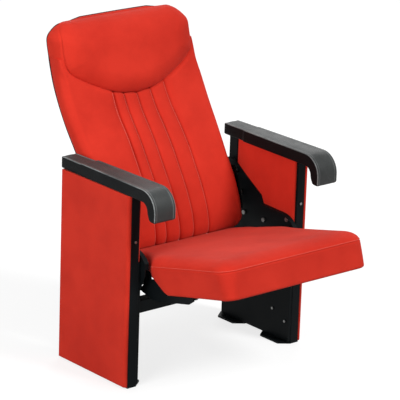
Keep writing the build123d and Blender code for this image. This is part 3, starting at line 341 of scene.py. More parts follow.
def moulding_material(name, dark, lit_top, edge_wear_and_highlight, grain_scale, rough):
    """Integral-skin moulding with a leather grain. Painted shade darkens its sides against the lighter tops, and a
    painted highlight runs along the upper edges that face up and forward."""
    shader = Shader(name)
    cells = shader.node("ShaderNodeTexVoronoi", feature="DISTANCE_TO_EDGE")
    warped = shader.node("ShaderNodeVectorMath", operation="ADD")
    wobble = shader.node("ShaderNodeTexNoise")
    shader.link(shader.place, wobble.inputs["Vector"])
    wobble.inputs["Scale"].default_value = grain_scale * 0.5
    scaled = shader.node("ShaderNodeVectorMath", operation="SCALE")
    shader.link(wobble.outputs["Color"], scaled.inputs[0])
    scaled.inputs["Scale"].default_value = 0.6 / grain_scale
    shader.link(shader.place, warped.inputs[0])
    shader.link(scaled.outputs[0], warped.inputs[1])
    shader.link(warped.outputs[0], cells.inputs["Vector"])
    cells.inputs["Scale"].default_value = grain_scale
    grain = shader.ramp(cells.outputs["Distance"], 0.0, 0.22)
    wear = shader.noise(9.0, 4.0, 0.6)
    colour = shader.blend(shader.ramp(wear, 0.3, 0.7, 0.6, 1.0), dark, lit_top)
    turned = shader.node("ShaderNodeSeparateXYZ")
    shader.link(shader.node("ShaderNodeTexCoord").outputs["Normal"], turned.inputs[0])
    aside = shader.math("ABSOLUTE", turned.outputs[0])
    # painted shade: faces turned to the side take the dark tone, the tops keep the lighter one
    colour = shader.blend(shader.ramp(aside, 0.1, 0.6), colour, dark)
    # painted highlight: a pale band along the rounded upper edges that face up and forward, patchy with the noise
    ridge_highlight = shader.math("MULTIPLY", shader.ramp(aside, 0.12, 0.3), shader.ramp(aside, 0.97, 0.85))
    facing_the_light = shader.ramp(shader.math("SUBTRACT", turned.outputs[2], turned.outputs[1]), 0.0, 0.25)
    ridge_highlight = shader.math("MULTIPLY", ridge_highlight, facing_the_light)
    colour = shader.blend(shader.math("MULTIPLY", ridge_highlight, shader.ramp(wear, 0.3, 0.6, 0.3, 0.9)), colour, edge_wear_and_highlight)
    colour = shader.blend(shader.ramp(grain, 0.0, 1.0, 0.5, 0.0), colour, tuple(c * 0.4 for c in dark))
    roughness = shader.ramp(wear, 0.3, 0.75, rough + 0.1, rough - 0.06)
    normal = shader.bump(grain, 0.00035, 0.55, shader.bump(wear, 0.001, 0.25))
    shine = shader.ramp(aside, 0.1, 0.6, 0.2, 0.05)
    return shader.finish(colour, roughness, normal, Specular_IOR_Level=shine)


def steel_material(name, base, edge_wear_and_highlight, rough, metallic, edge, shine=0.5):
    """Coated or plated steel: orange peel, uneven gloss, and rubbed edges."""
    shader = Shader(name)
    rounded = shader.node("ShaderNodeBevel", samples=4)
    rounded.inputs["Radius"].default_value = edge
    facing = shader.node("ShaderNodeVectorMath", operation="DOT_PRODUCT")
    shader.link(rounded.outputs[0], facing.inputs[0])
    shader.link(shader.node("ShaderNodeNewGeometry").outputs["Normal"], facing.inputs[1])
    at_edge = shader.ramp(facing.outputs["Value"], 0.985, 0.9)
    rub = shader.math("MULTIPLY", at_edge, shader.ramp(shader.noise(60.0, 5.0, 0.7), 0.5, 0.68))
    cloud = shader.noise(14.0, 5.0, 0.6)
    colour = shader.blend(shader.ramp(cloud, 0.3, 0.75, 0.0, 0.5), base, tuple(c * 1.7 for c in base))
    colour = shader.blend(rub, colour, edge_wear_and_highlight)
    roughness = shader.ramp(cloud, 0.3, 0.7, rough - 0.06, rough + 0.12)
    normal = shader.bump(shader.noise(700.0, 2.0), 0.0002, 0.35, rounded.outputs[0])
    return shader.finish(colour, roughness, normal, Metallic=metallic, Specular_IOR_Level=shine)


def plywood_material():
    """Birch plywood: long grain and darker plies."""
    shader = Shader("plywood")
    stretch = shader.node("ShaderNodeMapping")
    shader.link(shader.place, stretch.inputs["Vector"])
    stretch.inputs["Scale"].default_value = (1.0, 1.0, 0.08)
    grain = shader.noise(160.0, 5.0, 0.65, stretch.outputs[0])
    colour = shader.blend(shader.ramp(grain, 0.35, 0.65), BIRCH, BIRCH_DARK)
    return shader.finish(colour, shader.ramp(grain, 0.3, 0.7, 0.55, 0.7), shader.bump(grain, 0.0003))


def plain_moulding(name, base, rough, speck):
    """Small rubber and nylon pieces, with a fine moulded texture."""
    shader = Shader(name)
    fine = shader.noise(speck, 3.0)
    colour = shader.blend(shader.ramp(fine, 0.35, 0.7, 0.0, 0.35), base, tuple(c * 1.5 for c in base))
    roughness = shader.ramp(fine, 0.3, 0.7, rough - 0.08, rough + 0.08)
    return shader.finish(colour, roughness, shader.bump(fine, 0.0002, 0.5))


CLOTH = cloth_material()
HIGHLIGHT_THREAD = highlight_thread_material()
ARM_SKIN = moulding_material(
    "arm_moulding",
    dark=(0.006, 0.007, 0.0075),
    lit_top=(0.050, 0.055, 0.054),
    edge_wear_and_highlight=(0.34, 0.36, 0.36),
    grain_scale=380.0,
    rough=0.44,
)
SHELL_SKIN = moulding_material(
    "shell_moulding",
    dark=(0.014, 0.014, 0.016),
    lit_top=(0.022, 0.022, 0.025),
    edge_wear_and_highlight=(0.03, 0.03, 0.033),
    grain_scale=500.0,
    rough=0.55,
)
BLACK_COAT = steel_material(
    "black_powder_coat", (0.0035, 0.0048, 0.0055), (0.06, 0.06, 0.057), 0.40, 0.0, 0.0012, shine=0.05
)
ZINC = steel_material("dark_zinc_plate", (0.17, 0.17, 0.165), (0.42, 0.42, 0.40), 0.38, 1.0, 0.0006)
SPRING_WIRE = steel_material("oiled_spring_wire", (0.22, 0.22, 0.22), (0.36, 0.35, 0.33), 0.34, 1.0, 0.0008)
PLYWOOD = plywood_material()
NYLON = plain_moulding("natural_nylon", (0.66, 0.63, 0.55), 0.45, 300.0)
RUBBER = plain_moulding("stop_rubber", (0.02, 0.02, 0.02), 0.75, 500.0)

SLOT_MATERIALS = {
    "upholstery": CLOTH,
    "plywood": PLYWOOD,
    "arm_moulding": ARM_SKIN,
    "shell_moulding": SHELL_SKIN,
    "frame_paint": BLACK_COAT,
    "fastener_steel": ZINC,
    "spring_steel": SPRING_WIRE,
    "bush_plastic": NYLON,
    "stop_rubber": RUBBER,
}


def dress_cad_nodes():
    """The material of its slot on every CAD node."""
    for part in frame["record"]["subparts"]:
        node = NODES[part["node"]]
        node.data.materials.clear()
        node.data.materials.append(SLOT_MATERIALS[part["material_slot"]])


# ----------------------------------------------- mesh making
def piece_from(name, points, faces, material, body):
    """A smooth-shaded piece that rides on a CAD body."""
    mesh = bpy.data.meshes.new(name)
    mesh.from_pydata([tuple(point) for point in points], [], faces)
    made = bpy.data.objects.new(name, mesh)
    bpy.context.scene.collection.objects.link(made)
    working = bmesh.new()
    working.from_mesh(mesh)
    bmesh.ops.recalc_face_normals(working, faces=working.faces)
    working.to_mesh(mesh)
    working.free()
    mesh.shade_smooth()
    mesh.materials.append(material)
    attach(made, body)
    return made


def smooth(piece):
    """One subdivision; the exact limit surface is slow on the many-sided caps."""
    modifier = piece.modifiers.new("smooth", "SUBSURF")
    modifier.levels = modifier.render_levels = 1
    modifier.use_limit_surface = False


def grid_faces(rows, columns, cap_low=True, cap_high=True):
    """Quads between rings of points, and the two end caps."""
    faces = []
    for row in range(rows - 1):
        low, high = row * columns, (row + 1) * columns
        for column in range(columns):
            following = (column + 1) % columns
            faces.append((low + column, low + following, high + following, high + column))
    if cap_low:
        faces.append(tuple(range(columns - 1, -1, -1)))
    if cap_high:
        faces.append(tuple(range((rows - 1) * columns, rows * columns)))
    return faces


def curve_through(knots, values, places):
    """Smooth curve through uneven knots."""
    slopes = np.gradient(values, knots)
    i = np.clip(np.searchsorted(knots, places) - 1, 0, len(knots) - 2)
    span = knots[i + 1] - knots[i]
    f = (places - knots[i]) / span
    return (
        (2 * f**3 - 3 * f**2 + 1) * values[i]
        + (f**3 - 2 * f**2 + f) * span * slopes[i]
        + (3 * f**2 - 2 * f**3) * values[i + 1]
        + (f**3 - f**2) * span * slopes[i + 1]
    )


def eased(distance, radius):
    """How far a rounded edge falls back, at a distance in from it."""
    away = np.clip(1 - distance / radius, 0.0, 1.0)
    return radius * (1 - np.sqrt(1 - away**2))


def laid_points(piece):
    """Where the piece's points lie now."""
    return np.array([vertex.co for vertex in piece.data.vertices])


def inflate(piece, pinned, pressure, cap):
    """Blows the cover up between its seams with the cloth solver, and keeps the result."""
    group = piece.vertex_groups.new(name="pins")
    group.add([int(i) for i in pinned], 1.0, "REPLACE")
    cloth = piece.modifiers.new("cloth", "CLOTH")
    settings = cloth.settings
    settings.vertex_group_mass = "pins"
    settings.use_pressure = True
    settings.uniform_pressure_force = pressure
    settings.effector_weights.gravity = 0.0
    settings.quality = 4
    settings.tension_stiffness = 18.0
    settings.compression_stiffness = 18.0
    settings.bending_stiffness = 0.6
    rest = laid_points(piece)
    for step in range(1, CLOTH_FRAMES + 1):
        bpy.context.scene.frame_set(step)
    moved = laid_points(piece.evaluated_get(bpy.context.evaluated_depsgraph_get())) - rest
    reach = np.linalg.norm(moved, axis=1, keepdims=True)
    moved *= np.minimum(1.0, cap / np.maximum(reach, 1e-9))
    piece.modifiers.remove(cloth)
    piece.vertex_groups.remove(group)
    bpy.context.scene.frame_set(1)
    piece.data.vertices.foreach_set("co", (rest + moved).ravel())
    piece.data.update()


# ---------------------------------------------- seat cushion
def seated(points):
    """From the seat's level frame, about the pivot, to its rest tilt."""
    turn = np.array(Matrix.Rotation(-SEAT_TILT, 3, "X"))
    return points @ turn.T + np.array(PIVOT)


def seat_outline(front, half, corner):
    """Plan loop of the cushion: from the front's middle round one side to the rear's, and
    back round the other."""
    rear_half = SEAT_REAR_HALF - (SEAT_HALF_WIDTH - half)
    start_y, end_y = (-place for place in SEAT_CHAMFER)
    side_y = -front + corner
    stretches = []

    def stretch(x, y):
        stretches.append(np.column_stack(np.broadcast_arrays(x, y)))

    across = np.linspace(0.0, 1.0, 22, endpoint=False)
    stretch(across * (half - corner), -front)
    angles = np.linspace(-math.pi / 2, 0, 18, endpoint=False)
    stretch(half - corner + corner * np.cos(angles), side_y + corner * np.sin(angles))
    along = np.linspace(0.0, 1.0, 24, endpoint=False)
    stretch(half - SEAT_WAIST * np.sin(along * math.pi), side_y + along * (start_y - side_y))
    along = np.linspace(0.0, 1.0, 8, endpoint=False)
    stretch(half + along * (rear_half - half), start_y + along * (end_y - start_y))
    stretch(rear_half - SEAT_REAR_TAPER * along, end_y + along * (SEAT_REAR - end_y))
    across = np.linspace(1.0, 0.0, 26, endpoint=False)
    stretch(across * (rear_half - SEAT_REAR_TAPER), SEAT_REAR)
    right = np.concatenate(stretches)
    return np.concatenate([right, [(0.0, SEAT_REAR)], right[:0:-1] * (-1, 1)])


def drawn_in(loop, distance):
    """A plan loop moved towards its middle."""
    middle = np.array([0.0, (SEAT_REAR - SEAT_FRONT) / 2])
    reach = np.array([SEAT_HALF_WIDTH, (SEAT_REAR + SEAT_FRONT) / 2])
    return middle + (loop - middle) * (1 - distance / reach)


def seat_cushion():
    """Boxed cushion: rim under the pan, raked boxing, a sewn seam and a crowned top."""
    base = seat_outline(SEAT_FRONT, SEAT_HALF_WIDTH + SEAT_BULGE / 3, SEAT_CORNERS[0])
    middle = seat_outline(SEAT_FRONT - SEAT_RAKE * 0.4, SEAT_HALF_WIDTH + SEAT_BULGE * 7 / 9, SEAT_CORNERS[1])
    seam = seat_outline(SEAT_FRONT - SEAT_RAKE, SEAT_HALF_WIDTH + SEAT_BULGE, SEAT_CORNERS[2])
    rings = []

    def bottom(loop):
        rise = np.clip((loop[:, 1] - SEAT_STEP_Y) / SEAT_STEP, 0.0, 1.0)
        return -SEAT_BASE + rise * SEAT_STEP

    def swell(loop):
        return SEAT_SWELL * np.clip((SEAT_REAR - loop[:, 1]) / SEAT_SWELL_RUN, 0.0, 1.0) ** 0.8

    def ring(loop, height):
        rings.append(np.column_stack([loop, height]))

    rim = ((SEAT_RIM - 0.001, 0.004), (SEAT_RIM - 0.003, 0.0), (0.006, -0.0005), (0.002, 0.0015))
    for inset, lift in rim:
        loop = drawn_in(base, inset)
        ring(loop, bottom(loop) + lift)
    for share in (0.06, 0.14, 0.24, 0.36, 0.48, 0.6, 0.72, 0.84, 0.93, 0.97):
        loop = base * (1 - share) ** 2 + 2 * middle * share * (1 - share) + seam * share**2
        ring(loop, bottom(loop) * (1 - share) + SEAT_SEAM_Z * share)
    seam_row = len(rings)
    for inset, share in ((0.0022, 0.0), (-0.0004, 0.5), (0.0012, 1.0)):
        ring(drawn_in(seam, inset), np.full(len(seam), SEAT_SEAM_Z + share * SEAT_SEAM_HIGH))
    core = np.clip(seam, *SEAT_CORE)
    edges = seam[seam[:, 1] < SEAT_REAR - 0.001]
    for share in (0.03, 0.06, 0.1, 0.15, 0.21, 0.28, 0.36, 0.45, 0.55, 0.66, 0.78, 0.9, 1.0):
        loop = seam + (core - seam) * share
        gap = np.linalg.norm(loop[:, None, :] - edges[None, :, :], axis=2).min(axis=1)
        run = SEAT_SLOPE - SEAT_SLOPE_LESS * np.clip((loop[:, 1] - SEAT_SLOPE_Y) / SEAT_SLOPE_RUN, 0.0, 1.0)
        slope = (1 - (1 - np.clip(gap / run, 0.0, 1.0)) ** 2.2) ** (1 / 1.25)
        rear = (1 - (1 - np.clip((SEAT_REAR - loop[:, 1]) / SEAT_REAR_SLOPE, 0.0, 1.0)) ** 2) ** 0.5
        crown = (SEAT_CROWN - SEAT_SEAM_HIGH) * (0.3 + 0.7 * rear)
        ring(loop, SEAT_SEAM_Z + SEAT_SEAM_HIGH + slope * (crown + swell(loop)))
    for share in (0.2, 0.4, 0.6, 0.8, 0.93):
        loop = core * (1 - share) + np.array(SEAT_MIDDLE) * share
        dome = SEAT_DOME * math.sin(share * math.pi / 2)
        ring(loop, SEAT_SEAM_Z + SEAT_CROWN + swell(loop) + dome)
    columns = len(seam)
    points = seated(np.concatenate(rings))
    # the underside is flat ahead of the step and behind it, and runs in strips between
    along = rings[0][: columns // 2 + 1, 1]
    first = int(np.max(np.nonzero(along <= SEAT_STEP_Y)[0]))
    last = int(np.min(np.nonzero(along >= SEAT_STEP_Y + SEAT_STEP)[0]))
    faces = grid_faces(len(rings), columns, cap_low=False)
    faces.append(tuple(k % columns for k in range(-first, first + 1)))
    faces += [(k, k + 1, columns - k - 1, columns - k) for k in range(first, last)]
    faces.append(tuple(range(last, columns - last + 1)))
    made = piece_from("seat_cover", points, faces, CLOTH, "seat")
    held_rows = (*range(len(rim)), seam_row, seam_row + 1)
    pinned = [row * columns + column for row in held_rows for column in range(columns)]
    inflate(made, pinned, pressure=1.6, cap=0.004)
    # pale stitches along the seam, lighter than the cloth as a painted highlight there
    laid = laid_points(made).reshape(-1, columns, 3)[seam_row + 2]
    ahead = int(np.argmax(laid[: columns // 2, 1] > SEAT_THREAD_END))
    path = np.concatenate([laid[-ahead:], laid[:ahead]]) + (0.0, -0.0003, 0.0002)
    highlight_stitches("seat_highlight_thread", path, "seat", SEAT_THREAD)
    smooth(made)
    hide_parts("seat_cushion")


# ------------------------------------------------------ back
def line_at(height):
    """Rear line's place and forward normal at a height."""
    step = 0.002
    y, above, below = (
        curve_through(BACK_HEIGHTS, BACK_STATIONS[:, 0], height + shift) for shift in (0.0, step, -step)
    )
    slope = (above - below) / (2 * step)
    length = np.sqrt(1 + slope**2)
    return y, -1 / length, slope / length


def in_front_view(x, z, n):
    """Points at a front-view place, n ahead of the rear line."""
    height = np.array(z, float)
    for _ in range(10):
        y, ny, nz = line_at(height)
        height = z - nz * n
    return np.stack([x, y + ny * n, height + nz * n], -1)


def board_half(height):
    """Half width of the board, with the pads' clearance."""
    return np.interp(height, BOARD_EDGE[:, 0], BOARD_EDGE[:, 1]) + LIP_CLEAR


def pleat_places(height):
    """Each pleat's x, for each height."""
    return np.stack([np.interp(height, PLEAT_HEIGHTS, pleat) for pleat in PLEATS], -1)


def pleated(x, seams):
    """Depth lost beside the sewn pleats, which the padding rises from on both sides."""
    away = np.min(np.abs(x[:, :, None] - seams[:, None, :]), axis=2)
    return PLEAT_DEPTH * (0.5 * np.exp(-away / PLEAT_REACH) + 0.5 * np.exp(-away / (PLEAT_REACH * 0.22)))


def back_section(height):
    """Across the back pad, for each row: x and the distance ahead of the rear line."""
    table = (curve_through(BACK_HEIGHTS, BACK_STATIONS[:, k], height)[:, None] for k in range(2, 7))
    depth, half, side, rear_half, radius = table
    board = board_half(height)[:, None]
    shoulder = half - radius
    inner = np.linspace(-1, 1, SECTION_REAR - 4)
    rear_x = np.concatenate([-rear_half + 0.002, -board, board * inner, board, rear_half - 0.002], 1)
    lip, deep = np.full_like(board, PAD_LIP), np.full_like(board, PAD_REAR)
    rear_n = np.concatenate([lip, lip] + [deep] * len(inner) + [lip, lip], 1)
    lower = np.linspace(0.04, 1, 7)
    lower_x = rear_half + (half - rear_half) * np.sin(lower * math.pi / 2)
    lower_n = PAD_LIP + (side - radius - PAD_LIP) * lower
    turn = np.linspace(0, math.pi / 2, SECTION_SIDE - 6)[1:-1]
    upper_x = shoulder + radius * np.cos(turn)
    upper_n = side - radius + radius * np.sin(turn)
    seams = pleat_places(height)
    stops = np.concatenate([shoulder, seams[:, ::-1], -shoulder], axis=1)
    spans = zip(stops.T[:-1, :, None], stops.T[1:, :, None])
    stretches = [start + (end - start) * FRONT_SPREAD for start, end in spans]
    front_x = np.concatenate(stretches + [-shoulder], 1)
    crown = (depth - side) * np.minimum(np.abs(front_x) / shoulder, 1.0) ** 2.2
    front_n = depth - crown - pleated(front_x, seams)
    sides_x = np.concatenate([lower_x, upper_x], 1)
    sides_n = np.concatenate([lower_n, upper_n], 1)
    x = np.concatenate([rear_x, sides_x, front_x, -sides_x[:, ::-1]], 1)
    n = np.concatenate([rear_n, sides_n, front_n, sides_n[:, ::-1]], 1)
    return x, n


def seam_height(x):
    """Height of the curved seam under the head pad."""
    return curve_through(SEAM_LINE[:, 0], SEAM_LINE[:, 1], np.minimum(np.abs(x), SEAM_LINE[-1, 0]))


def back_cushion():
    """Lower back pad with five sewn pleats, blown up between them."""
    columns = back_section(np.array([0.5]))[0].shape[1]

    def place(height, shrink):
        """Points of every column at its own height; shrink rolls the edge over."""
        flat = height.ravel()
        y, ny, nz = line_at(flat)
        x, n = back_section(flat)
        pick = np.arange(flat.size), np.tile(np.arange(columns), height.shape[0])
        x, n = x[pick], n[pick]
        rear = n < PAD_REAR + 0.0001
        roll = np.where(rear, 0.0, shrink.ravel())
        n = np.maximum(np.minimum(n, PAD_LIP), n - roll)
        n = np.where(rear, n, np.maximum(n, PAD_LIP + 0.0005))
        x = np.sign(x) * (np.abs(x) - np.where(np.abs(x) > 0.2, roll * 0.8, 0.0))
        return np.stack([x, y + ny * n, flat + nz * n], 1)

    high = np.full(columns, 0.85)
    for _ in range(14):
        points = place(high[None, :], np.zeros((1, columns)))
        high = np.clip(high + (seam_height(points[:, 0]) - SEAM_GAP - points[:, 2]), 0.6, 0.95)
    share = np.linspace(0, 1, BACK_ROWS)
    share = share - 0.75 * np.sin(share * 2 * math.pi) / (2 * math.pi)
    height = BACK_BOTTOM + (high - BACK_BOTTOM)[None, :] * share[:, None]
    crease = np.where(np.abs(points[:, 0]) > HEAD_EDGE - 0.004, *SEAM_ROLLS)[None, :]
    shrink = eased(height - BACK_BOTTOM, BACK_BOTTOM_ROLL) + eased(high - height, crease)
    points = place(height, shrink)
    made = piece_from("back_cover", points, grid_faces(BACK_ROWS, columns), CLOTH, "frame")
    first_front = SECTION_REAR + SECTION_SIDE - 1
    held = [first_front + len(FRONT_SPREAD) * (k + 1) for k in range(len(PLEATS))]
    held += list(range(SECTION_REAR + 3)) + list(range(columns - 3, columns))
    pinned = [row * columns + column for row in range(BACK_ROWS) for column in held]
    pinned += list(range(columns)) + list(range((BACK_ROWS - 1) * columns, BACK_ROWS * columns))
    inflate(made, pinned, pressure=1.2, cap=0.003)
    laid = laid_points(made).reshape(BACK_ROWS, columns, 3)
    # pale stitches beside each pleat, a painted highlight along its fold edge
    for k in range(len(PLEATS)):
        path = laid[3:-2, held[k] + 2] + (0.0, -0.0005, 0.0003)
        highlight_stitches(f"pleat_highlight_thread_{k + 1}", path, "frame", PLEAT_THREAD)
    smooth(made)
    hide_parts("back_cushion")


def head_outline():
    """Half of the head pad's edge in front view, from the curved seam's middle to the top's.
    With it: depth of that edge, how far the dome's slope reaches in, and its two powers."""
    rows = []
    for x in np.linspace(0.0, SEAM_HALF, SEAM_COLUMNS):
        rows.append((x, float(seam_height(x)), HEAD_SEAM_DEPTH, 0.062, 1.65, 1.15))
    for k, x in enumerate((0.2335, 0.2375, 0.2410, 0.2435, 0.2457)):
        depth = HEAD_SEAM_DEPTH + 0.0016 * (k + 1)
        rows.append((x, float(seam_height(x)), depth, 0.064, 1.7 + 0.1 * k, 1.15))
    for z in (0.895, 0.904, 0.913, 0.924):
        rows.append((HEAD_EDGE, z, HEAD_SIDE_DEPTH, 0.066, 2.2, 1.1))
    corner_x, corner_z = HEAD_CORNER
    for k in range(15):
        turn = k / 14 * math.pi / 2
        fade = min(1.0, max(0.0, (k - 1) / 10))
        fade = fade * fade * (3 - 2 * fade)
        x = corner_x + (HEAD_EDGE - corner_x) * math.cos(turn)
        z = corner_z + (HEAD_TOP - corner_z) * math.sin(turn)
        depth = HEAD_SIDE_DEPTH - (HEAD_SIDE_DEPTH - HEAD_TOP_DEPTH) * fade
        rows.append((x, z, depth, 0.066 + 0.022 * fade, 2.2 - 0.2 * fade, 1.1 + 0.9 * fade))
    for x in np.linspace(corner_x, 0.0, 28)[1:]:
        crown = 0.0015 * (1 - (x / corner_x) ** 2)
        rows.append((x, HEAD_TOP + crown, HEAD_TOP_DEPTH, 0.088, 2.0, 2.0))
    return np.array(rows)


def edge_trim(upper):
    """Thin black strip along the rear edge of the back, making a dark line round it. Its upper part follows the
    given points."""
    heights = np.linspace(*TRIM_HEIGHTS, 30)
    lower_x = curve_through(BACK_HEIGHTS, BACK_STATIONS[:, 5], heights) - TRIM_INSETS[0]
    right = np.concatenate([np.column_stack([lower_x, heights]), upper - (TRIM_INSETS[1], 0.0)])
    loop = np.concatenate([right, right[-2::-1] * (-1, 1)])
    path = in_front_view(loop[:, 0], loop[:, 1], np.full(len(loop), PAD_LIP - TRIM_RADIUS * 0.8))
    along = np.gradient(path, axis=0)
    along /= np.linalg.norm(along, axis=1)[:, None]
    out = np.cross(along, (0.0, 1.0, 0.0))
    out /= np.linalg.norm(out, axis=1)[:, None]
    other = np.cross(along, out)
    size = np.full(len(path), TRIM_RADIUS)
    size[[0, 1, -2, -1]] = TRIM_RADIUS * np.array([0.4, 0.85, 0.85, 0.4])
    rings = []
    for k in range(TRIM_SIDES):
        angle = k / TRIM_SIDES * 2 * math.pi
        rings.append(path + (out * math.cos(angle) + other * math.sin(angle)) * size[:, None])
    points = np.stack(rings, 1).reshape(-1, 3)
    made = piece_from("edge_trim", points, grid_faces(len(path), TRIM_SIDES), BLACK_COAT, "frame")


def headrest_cushion():
    """Head pad: boxing at the sides, and a dome that swells over the curved seam."""
    half = head_outline()
    last = len(half) - 1
    table = np.concatenate([half, half[-2:0:-1] * (-1, 1, 1, 1, 1, 1)])
    columns = len(table)
    edge_x, edge_z, edge_n, reach, power, root = table.T
    on_seam = np.zeros(columns, bool)
    on_seam[:SEAM_COLUMNS] = True
    on_seam[columns - SEAM_COLUMNS + 1 :] = True
    narrowed, core_half, core_z = HEAD_CORE
    core = np.stack([np.clip(edge_x * narrowed, -core_half, core_half), np.full(columns, core_z)], 1)
    edge = np.stack([edge_x, edge_z], 1)
    rings = []

    def inward(share):
        return edge + (core - edge) * share

    def ring(flat, n):
        rings.append(in_front_view(flat[:, 0], flat[:, 1], n))

    # the lap round the board, and the boxing's flare and dropped upper corners
    board_z = np.minimum(edge_z, BOARD_TOP)
    board_x = np.minimum(np.abs(edge_x), board_half(board_z))
    board = np.stack([np.sign(edge_x) * board_x, board_z], 1)
    board[on_seam] = edge[on_seam]
    flare = np.where(on_seam, 0.0, np.sqrt(np.clip((HEAD_TOP - edge_z) / HEAD_FLARE_FADE, 0.0, 1.0)))
    flare *= np.clip((edge_z - HEAD_FLARE_RISE[0]) / HEAD_FLARE_RISE[1], 0.0, 1.0)
    dropped = HEAD_DROP * np.clip((np.abs(edge_x) - 0.13) / 0.05, 0.0, 1.0)
    dropped *= np.clip((edge_z - 0.945) / 0.03, 0.0, 1.0)
    flared = np.stack([edge_x + np.sign(edge_x) * HEAD_FLARE * flare * 0.85, edge_z - dropped], 1)
    rear = np.full(columns, PAD_REAR)
    ring(inward(0.93), rear)
    ring(inward(0.5), rear)
    ring(board, rear)
    ring(board, np.where(on_seam, PAD_REAR + 0.001, PAD_LIP))
    ring(flared, np.where(on_seam, PAD_REAR + 0.002, PAD_LIP))
    held_rows = len(rings)
    for share in (0.03, 0.12, 0.25, 0.4, 0.55, 0.7, 0.83, 0.93):
        start = np.where(on_seam, PAD_REAR + 0.003, PAD_LIP)
        n = start + (edge_n - start) * share
        out = (HEAD_FLARE * (1 - share**1.6) + 0.004 * math.sin(share * math.pi)) * flare
        flat = np.stack([edge_x + np.sign(edge_x) * out, edge_z - dropped * (1 - share) ** 0.5], 1)
        ring(flat, n)
    seam_row = len(rings)
    crease = np.where(on_seam, 0.0008, 0.003)[:, None]
    drawn = edge + (core - edge) / np.linalg.norm(core - edge, axis=1)[:, None] * crease
    ring(drawn, edge_n - np.where(on_seam, 0.0, 0.0035))
    for share in (0.02, 0.045, 0.075, 0.11, 0.15, 0.2, 0.26, 0.33, 0.41, 0.5, 0.6, 0.71, 0.82, 0.93):
        flat = inward(share)
        gap = np.linalg.norm(flat[:, None, :] - edge[None, :, :], axis=2).min(axis=1)
        part = np.clip(gap / reach, 0.0, 1.0)
        rise = (1 - (1 - part) ** power) ** (1 / root)
        top = HEAD_DEPTH - 0.005 * (flat[:, 0] / 0.2) ** 2
        ring(flat, edge_n + (top - edge_n) * rise)
    count = len(rings)
    faces = grid_faces(count, columns, cap_low=False, cap_high=False)
    for base in (0, (count - 1) * columns):
        for i in range(last // 2 + 1):
            for sign in (1, -1):
                square = [i, i + 1, last - i - 1, last - i]
                corners = list(dict.fromkeys(base + (sign * k) % columns for k in square))
                if len(corners) > 2 and i + 1 <= last - i - 1:
                    faces.append(tuple(corners))
    made = piece_from("head_cover", np.concatenate(rings), faces, CLOTH, "frame")
    pinned = list(range(held_rows * columns)) + list(range(seam_row * columns, (seam_row + 1) * columns))
    inflate(made, pinned, pressure=1.2, cap=0.0035)
    smooth(made)
    edge_trim(flared[[k for k in range(len(half)) if not on_seam[k] and half[k, 1] > HEAD_TRIM_Z]])
    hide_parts("headrest_cushion")


# ----------------------------------------------- side panels
def panel_cover(node, outward, nose, wrap):
    """Cloth over thin foam: it wraps the board's edges, widely at the front, where it may lap
    over the post, and swells a little. Its face looks to the side given by outward."""
    low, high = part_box(node)
    inner_x = low.x if outward > 0 else high.x
    front = low.y - wrap

    def spread(start, end):
        inner = np.linspace(0.06, end - start - 0.06, 12)
        return np.concatenate([start + PANEL_SPACING, start + inner, end - PANEL_SPACING[::-1]])

    y, z = np.meshgrid(spread(front, high.y), spread(low.z, high.z), indexing="ij")
    others = np.minimum(np.minimum(high.y - y, z - low.z), high.z - z)
    swell = PANEL_SWELL * np.sqrt(np.clip(np.minimum(others, y - front) / PANEL_SWELL_RUN, 0.0, 1.0))
    rise = high.x - low.x - eased(y - front, nose) - eased(others, PANEL_EDGE) + swell
    rows, columns = y.shape
    points = [tuple(p) for p in np.stack([inner_x + outward * rise, y, z], -1).reshape(-1, 3)]
    faces = [
        (r * columns + c, (r + 1) * columns + c, (r + 1) * columns + c + 1, r * columns + c + 1)
        for r in range(rows - 1)
        for c in range(columns - 1)
    ]
    rim = [r * columns for r in range(rows)] + [(rows - 1) * columns + c for c in range(1, columns)]
    rim += [r * columns + columns - 1 for r in range(rows - 2, -1, -1)] + list(range(columns - 2, 0, -1))
    start = len(points)
    for k in rim:
        points.append((inner_x + outward * PANEL_FOOT, points[k][1], points[k][2]))
    count = len(rim)
    faces += [(rim[k], rim[(k + 1) % count], start + (k + 1) % count, start + k) for k in range(count)]
    faces.append(tuple(range(start, start + count)))
    made = piece_from(f"{node}_cloth", points, faces, CLOTH, "frame")
    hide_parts(node)


# ------------------------------------------------------ arms
def arm_section(half, thickness):
    """Rounded oblong with a bead along each upper edge and a little crown between."""
    points = []
    for sx, sz, start in ((1, 1, 0.0), (-1, 1, 0.5), (-1, -1, 1.0), (1, -1, 1.5)):
        radius = ARM_EDGE * (0.8 if sz > 0 else 0.7)
        for k in range(7):
            angle = (start + k / 12) * math.pi
            x = sx * (half - radius) + radius * math.cos(angle)
            points.append((x, sz * (thickness / 2 - radius) + radius * math.sin(angle)))
        if sx > 0 and sz > 0:
            points += [(half * share, thickness / 2 + drop) for share, drop in ARM_TOP_LINE]
    return points


